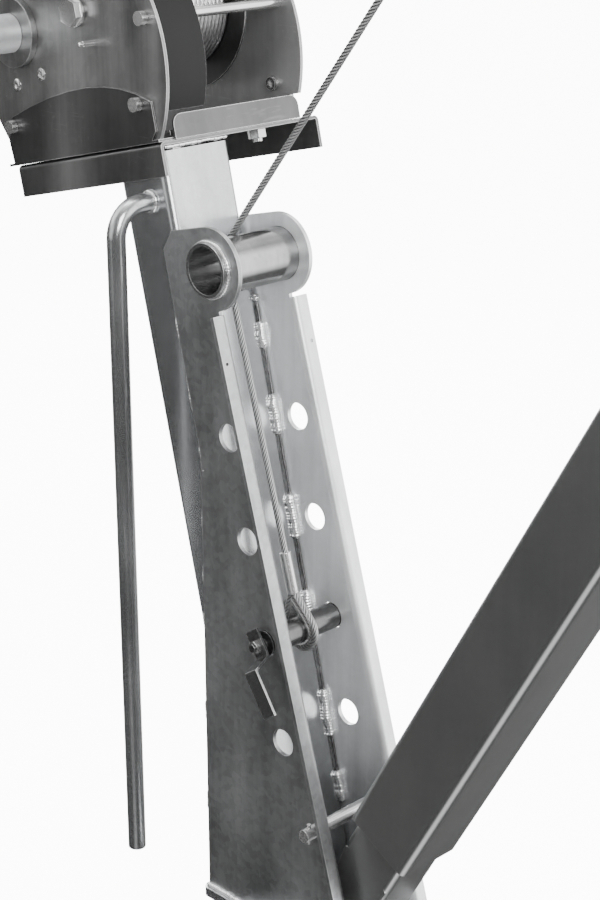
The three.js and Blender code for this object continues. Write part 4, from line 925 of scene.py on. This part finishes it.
for hand in (-1, 1):
    stitch(mast_welds, front_seam(hand), FRONT_STITCHES, 0.0066)
    stitch(mast_welds, rear_seam(hand), REAR_STITCHES, 0.0030)
    stitch(mast_welds, low_seam(hand), LOW_STITCHES, 0.0030)
    tube_end = guide + Vector((0, hand * (cheek_face + 0.0012), 0))
    ring(mast_welds, tube_end, half_size("guide_tube").x + 0.001, 0.002)
    along_foot = (guide.x - 0.022, foot_high.x - 0.012)
    foot_seam = [Vector((x, hand * (cheek_face + 0.001), foot_high.z + 0.0015)) for x in along_foot]
    bead(mast_welds, foot_seam, 0.0034)
bead(mast_welds, [on_mast(SPINE_FRONT + 0.001, HEAD_SEAM_UP, y) for y in (-0.046, 0, 0.046)], 0.0026)
stub = Vector((guide.x - 0.1, -0.0515, guide.z + 0.058))
ring(mast_welds, stub, half_size("turning_handle").x + 0.0006, 0.0021)
mast_beads = mast_welds.finish("mast_weld_beads", "weld_zinc")
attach(mast_beads, "mast")

# %% Painted seam shadows
SEAM_SHADOW_ENDS = (-0.053, -0.64)
# A thin dark rod in the corner between the spine and each cheek, a painted shadow along the seam.
seam_shadow_weave = Weave()
for hand in (-1, 1):
    bead(seam_shadow_weave, [on_mast(SPINE_FRONT + 0.0006, up, hand * (inside - 0.0012)) for up in SEAM_SHADOW_ENDS], 0.0015)
seam_shadow_lines = seam_shadow_weave.finish("mast_painted_seam_shadows", "cradle_zinc")
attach(seam_shadow_lines, "mast")

# %% Jib and pedestal welds
ARM_HALF = 0.0378
TUBE_START = 0.1355
corners = [(x * ARM_HALF, y * ARM_HALF) for x, y in ((-1, -1), (1, -1), (1, 1), (-1, 1), (-1, -1))]
jib_welds = Weave()
bead(jib_welds, [on_jib(TUBE_START, above, across) for above, across in corners], 0.0030, closed=True)
jib_beads = jib_welds.finish("jib_weld_beads", "weld_zinc")
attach(jib_beads, "jib")

THROAT = 0.0015
post = half_size("pedestal_tube").x
post_low, post_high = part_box("pedestal_tube")
post_welds = Weave()
ring(post_welds, Vector((0, 0, post_low.z + THROAT)), post + THROAT, 0.0042, "Z")
ring(post_welds, Vector((0, 0, post_high.z - THROAT)), post + THROAT, 0.0034, "Z")
post_beads = post_welds.finish("pedestal_weld_beads", "weld_zinc")
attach(post_beads, "pedestal")

# %% [markdown]
# ## Small fittings on the winch's side plates
# A spring post and two hollow rivets sit on the left plate by the crank, and a round rivet head on the
# inner side of the right plate. Each is a turned shape, so one helper spins a short profile about an axis
# that stands square to the plate.

# %% Winch fittings
def turned(weave, place, outwards, profile, sides=20):
    """profile is (distance out of the plate, radius) from the plate to the tip."""
    route = [place + outwards * distance for distance, _ in profile]
    upright = [(outwards, Vector((1, 0, 0)), outwards.cross(Vector((1, 0, 0))))] * len(route)
    weave.tube(route, upright, [radius for _, radius in profile], sides)


out_left = Vector((0, -1, 0))
left_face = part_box("winch_side_left")[0].y
right_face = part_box("winch_side_right")[0].y
HEAD = [(-0.0002, 0.0084), (0.0045, 0.0084), (0.0058, 0.0066), (0.0064, 0.003)]
POST = [(-0.001, 0.0034), (0.015, 0.0034), (0.0155, 0.0028), (0.0195, 0.0028), (0.021, 0.0018)]
RIVET = [(-0.001, 0.0075), (0.0008, 0.0072), (0.0016, 0.0062), (0.0019, 0.0038), (0.0009, 0.0022)]
FITTINGS = [
    (-0.0686, 0.1847, right_face, HEAD),
    (-0.130, 0.2585, left_face, POST),
    (-0.234, 0.238, left_face, RIVET),
    (-0.283, 0.232, left_face, RIVET),
]
fittings = Weave()
for ahead, up, face, profile in FITTINGS:
    turned(fittings, on_mast(ahead, up, face), out_left, profile)
winch_fittings = fittings.finish("winch_side_fittings", "bright_zinc")
crisp = winch_fittings.modifiers.new("smooth_by_angle", "NODES")
crisp.node_group = smooth
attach(winch_fittings, "mast")
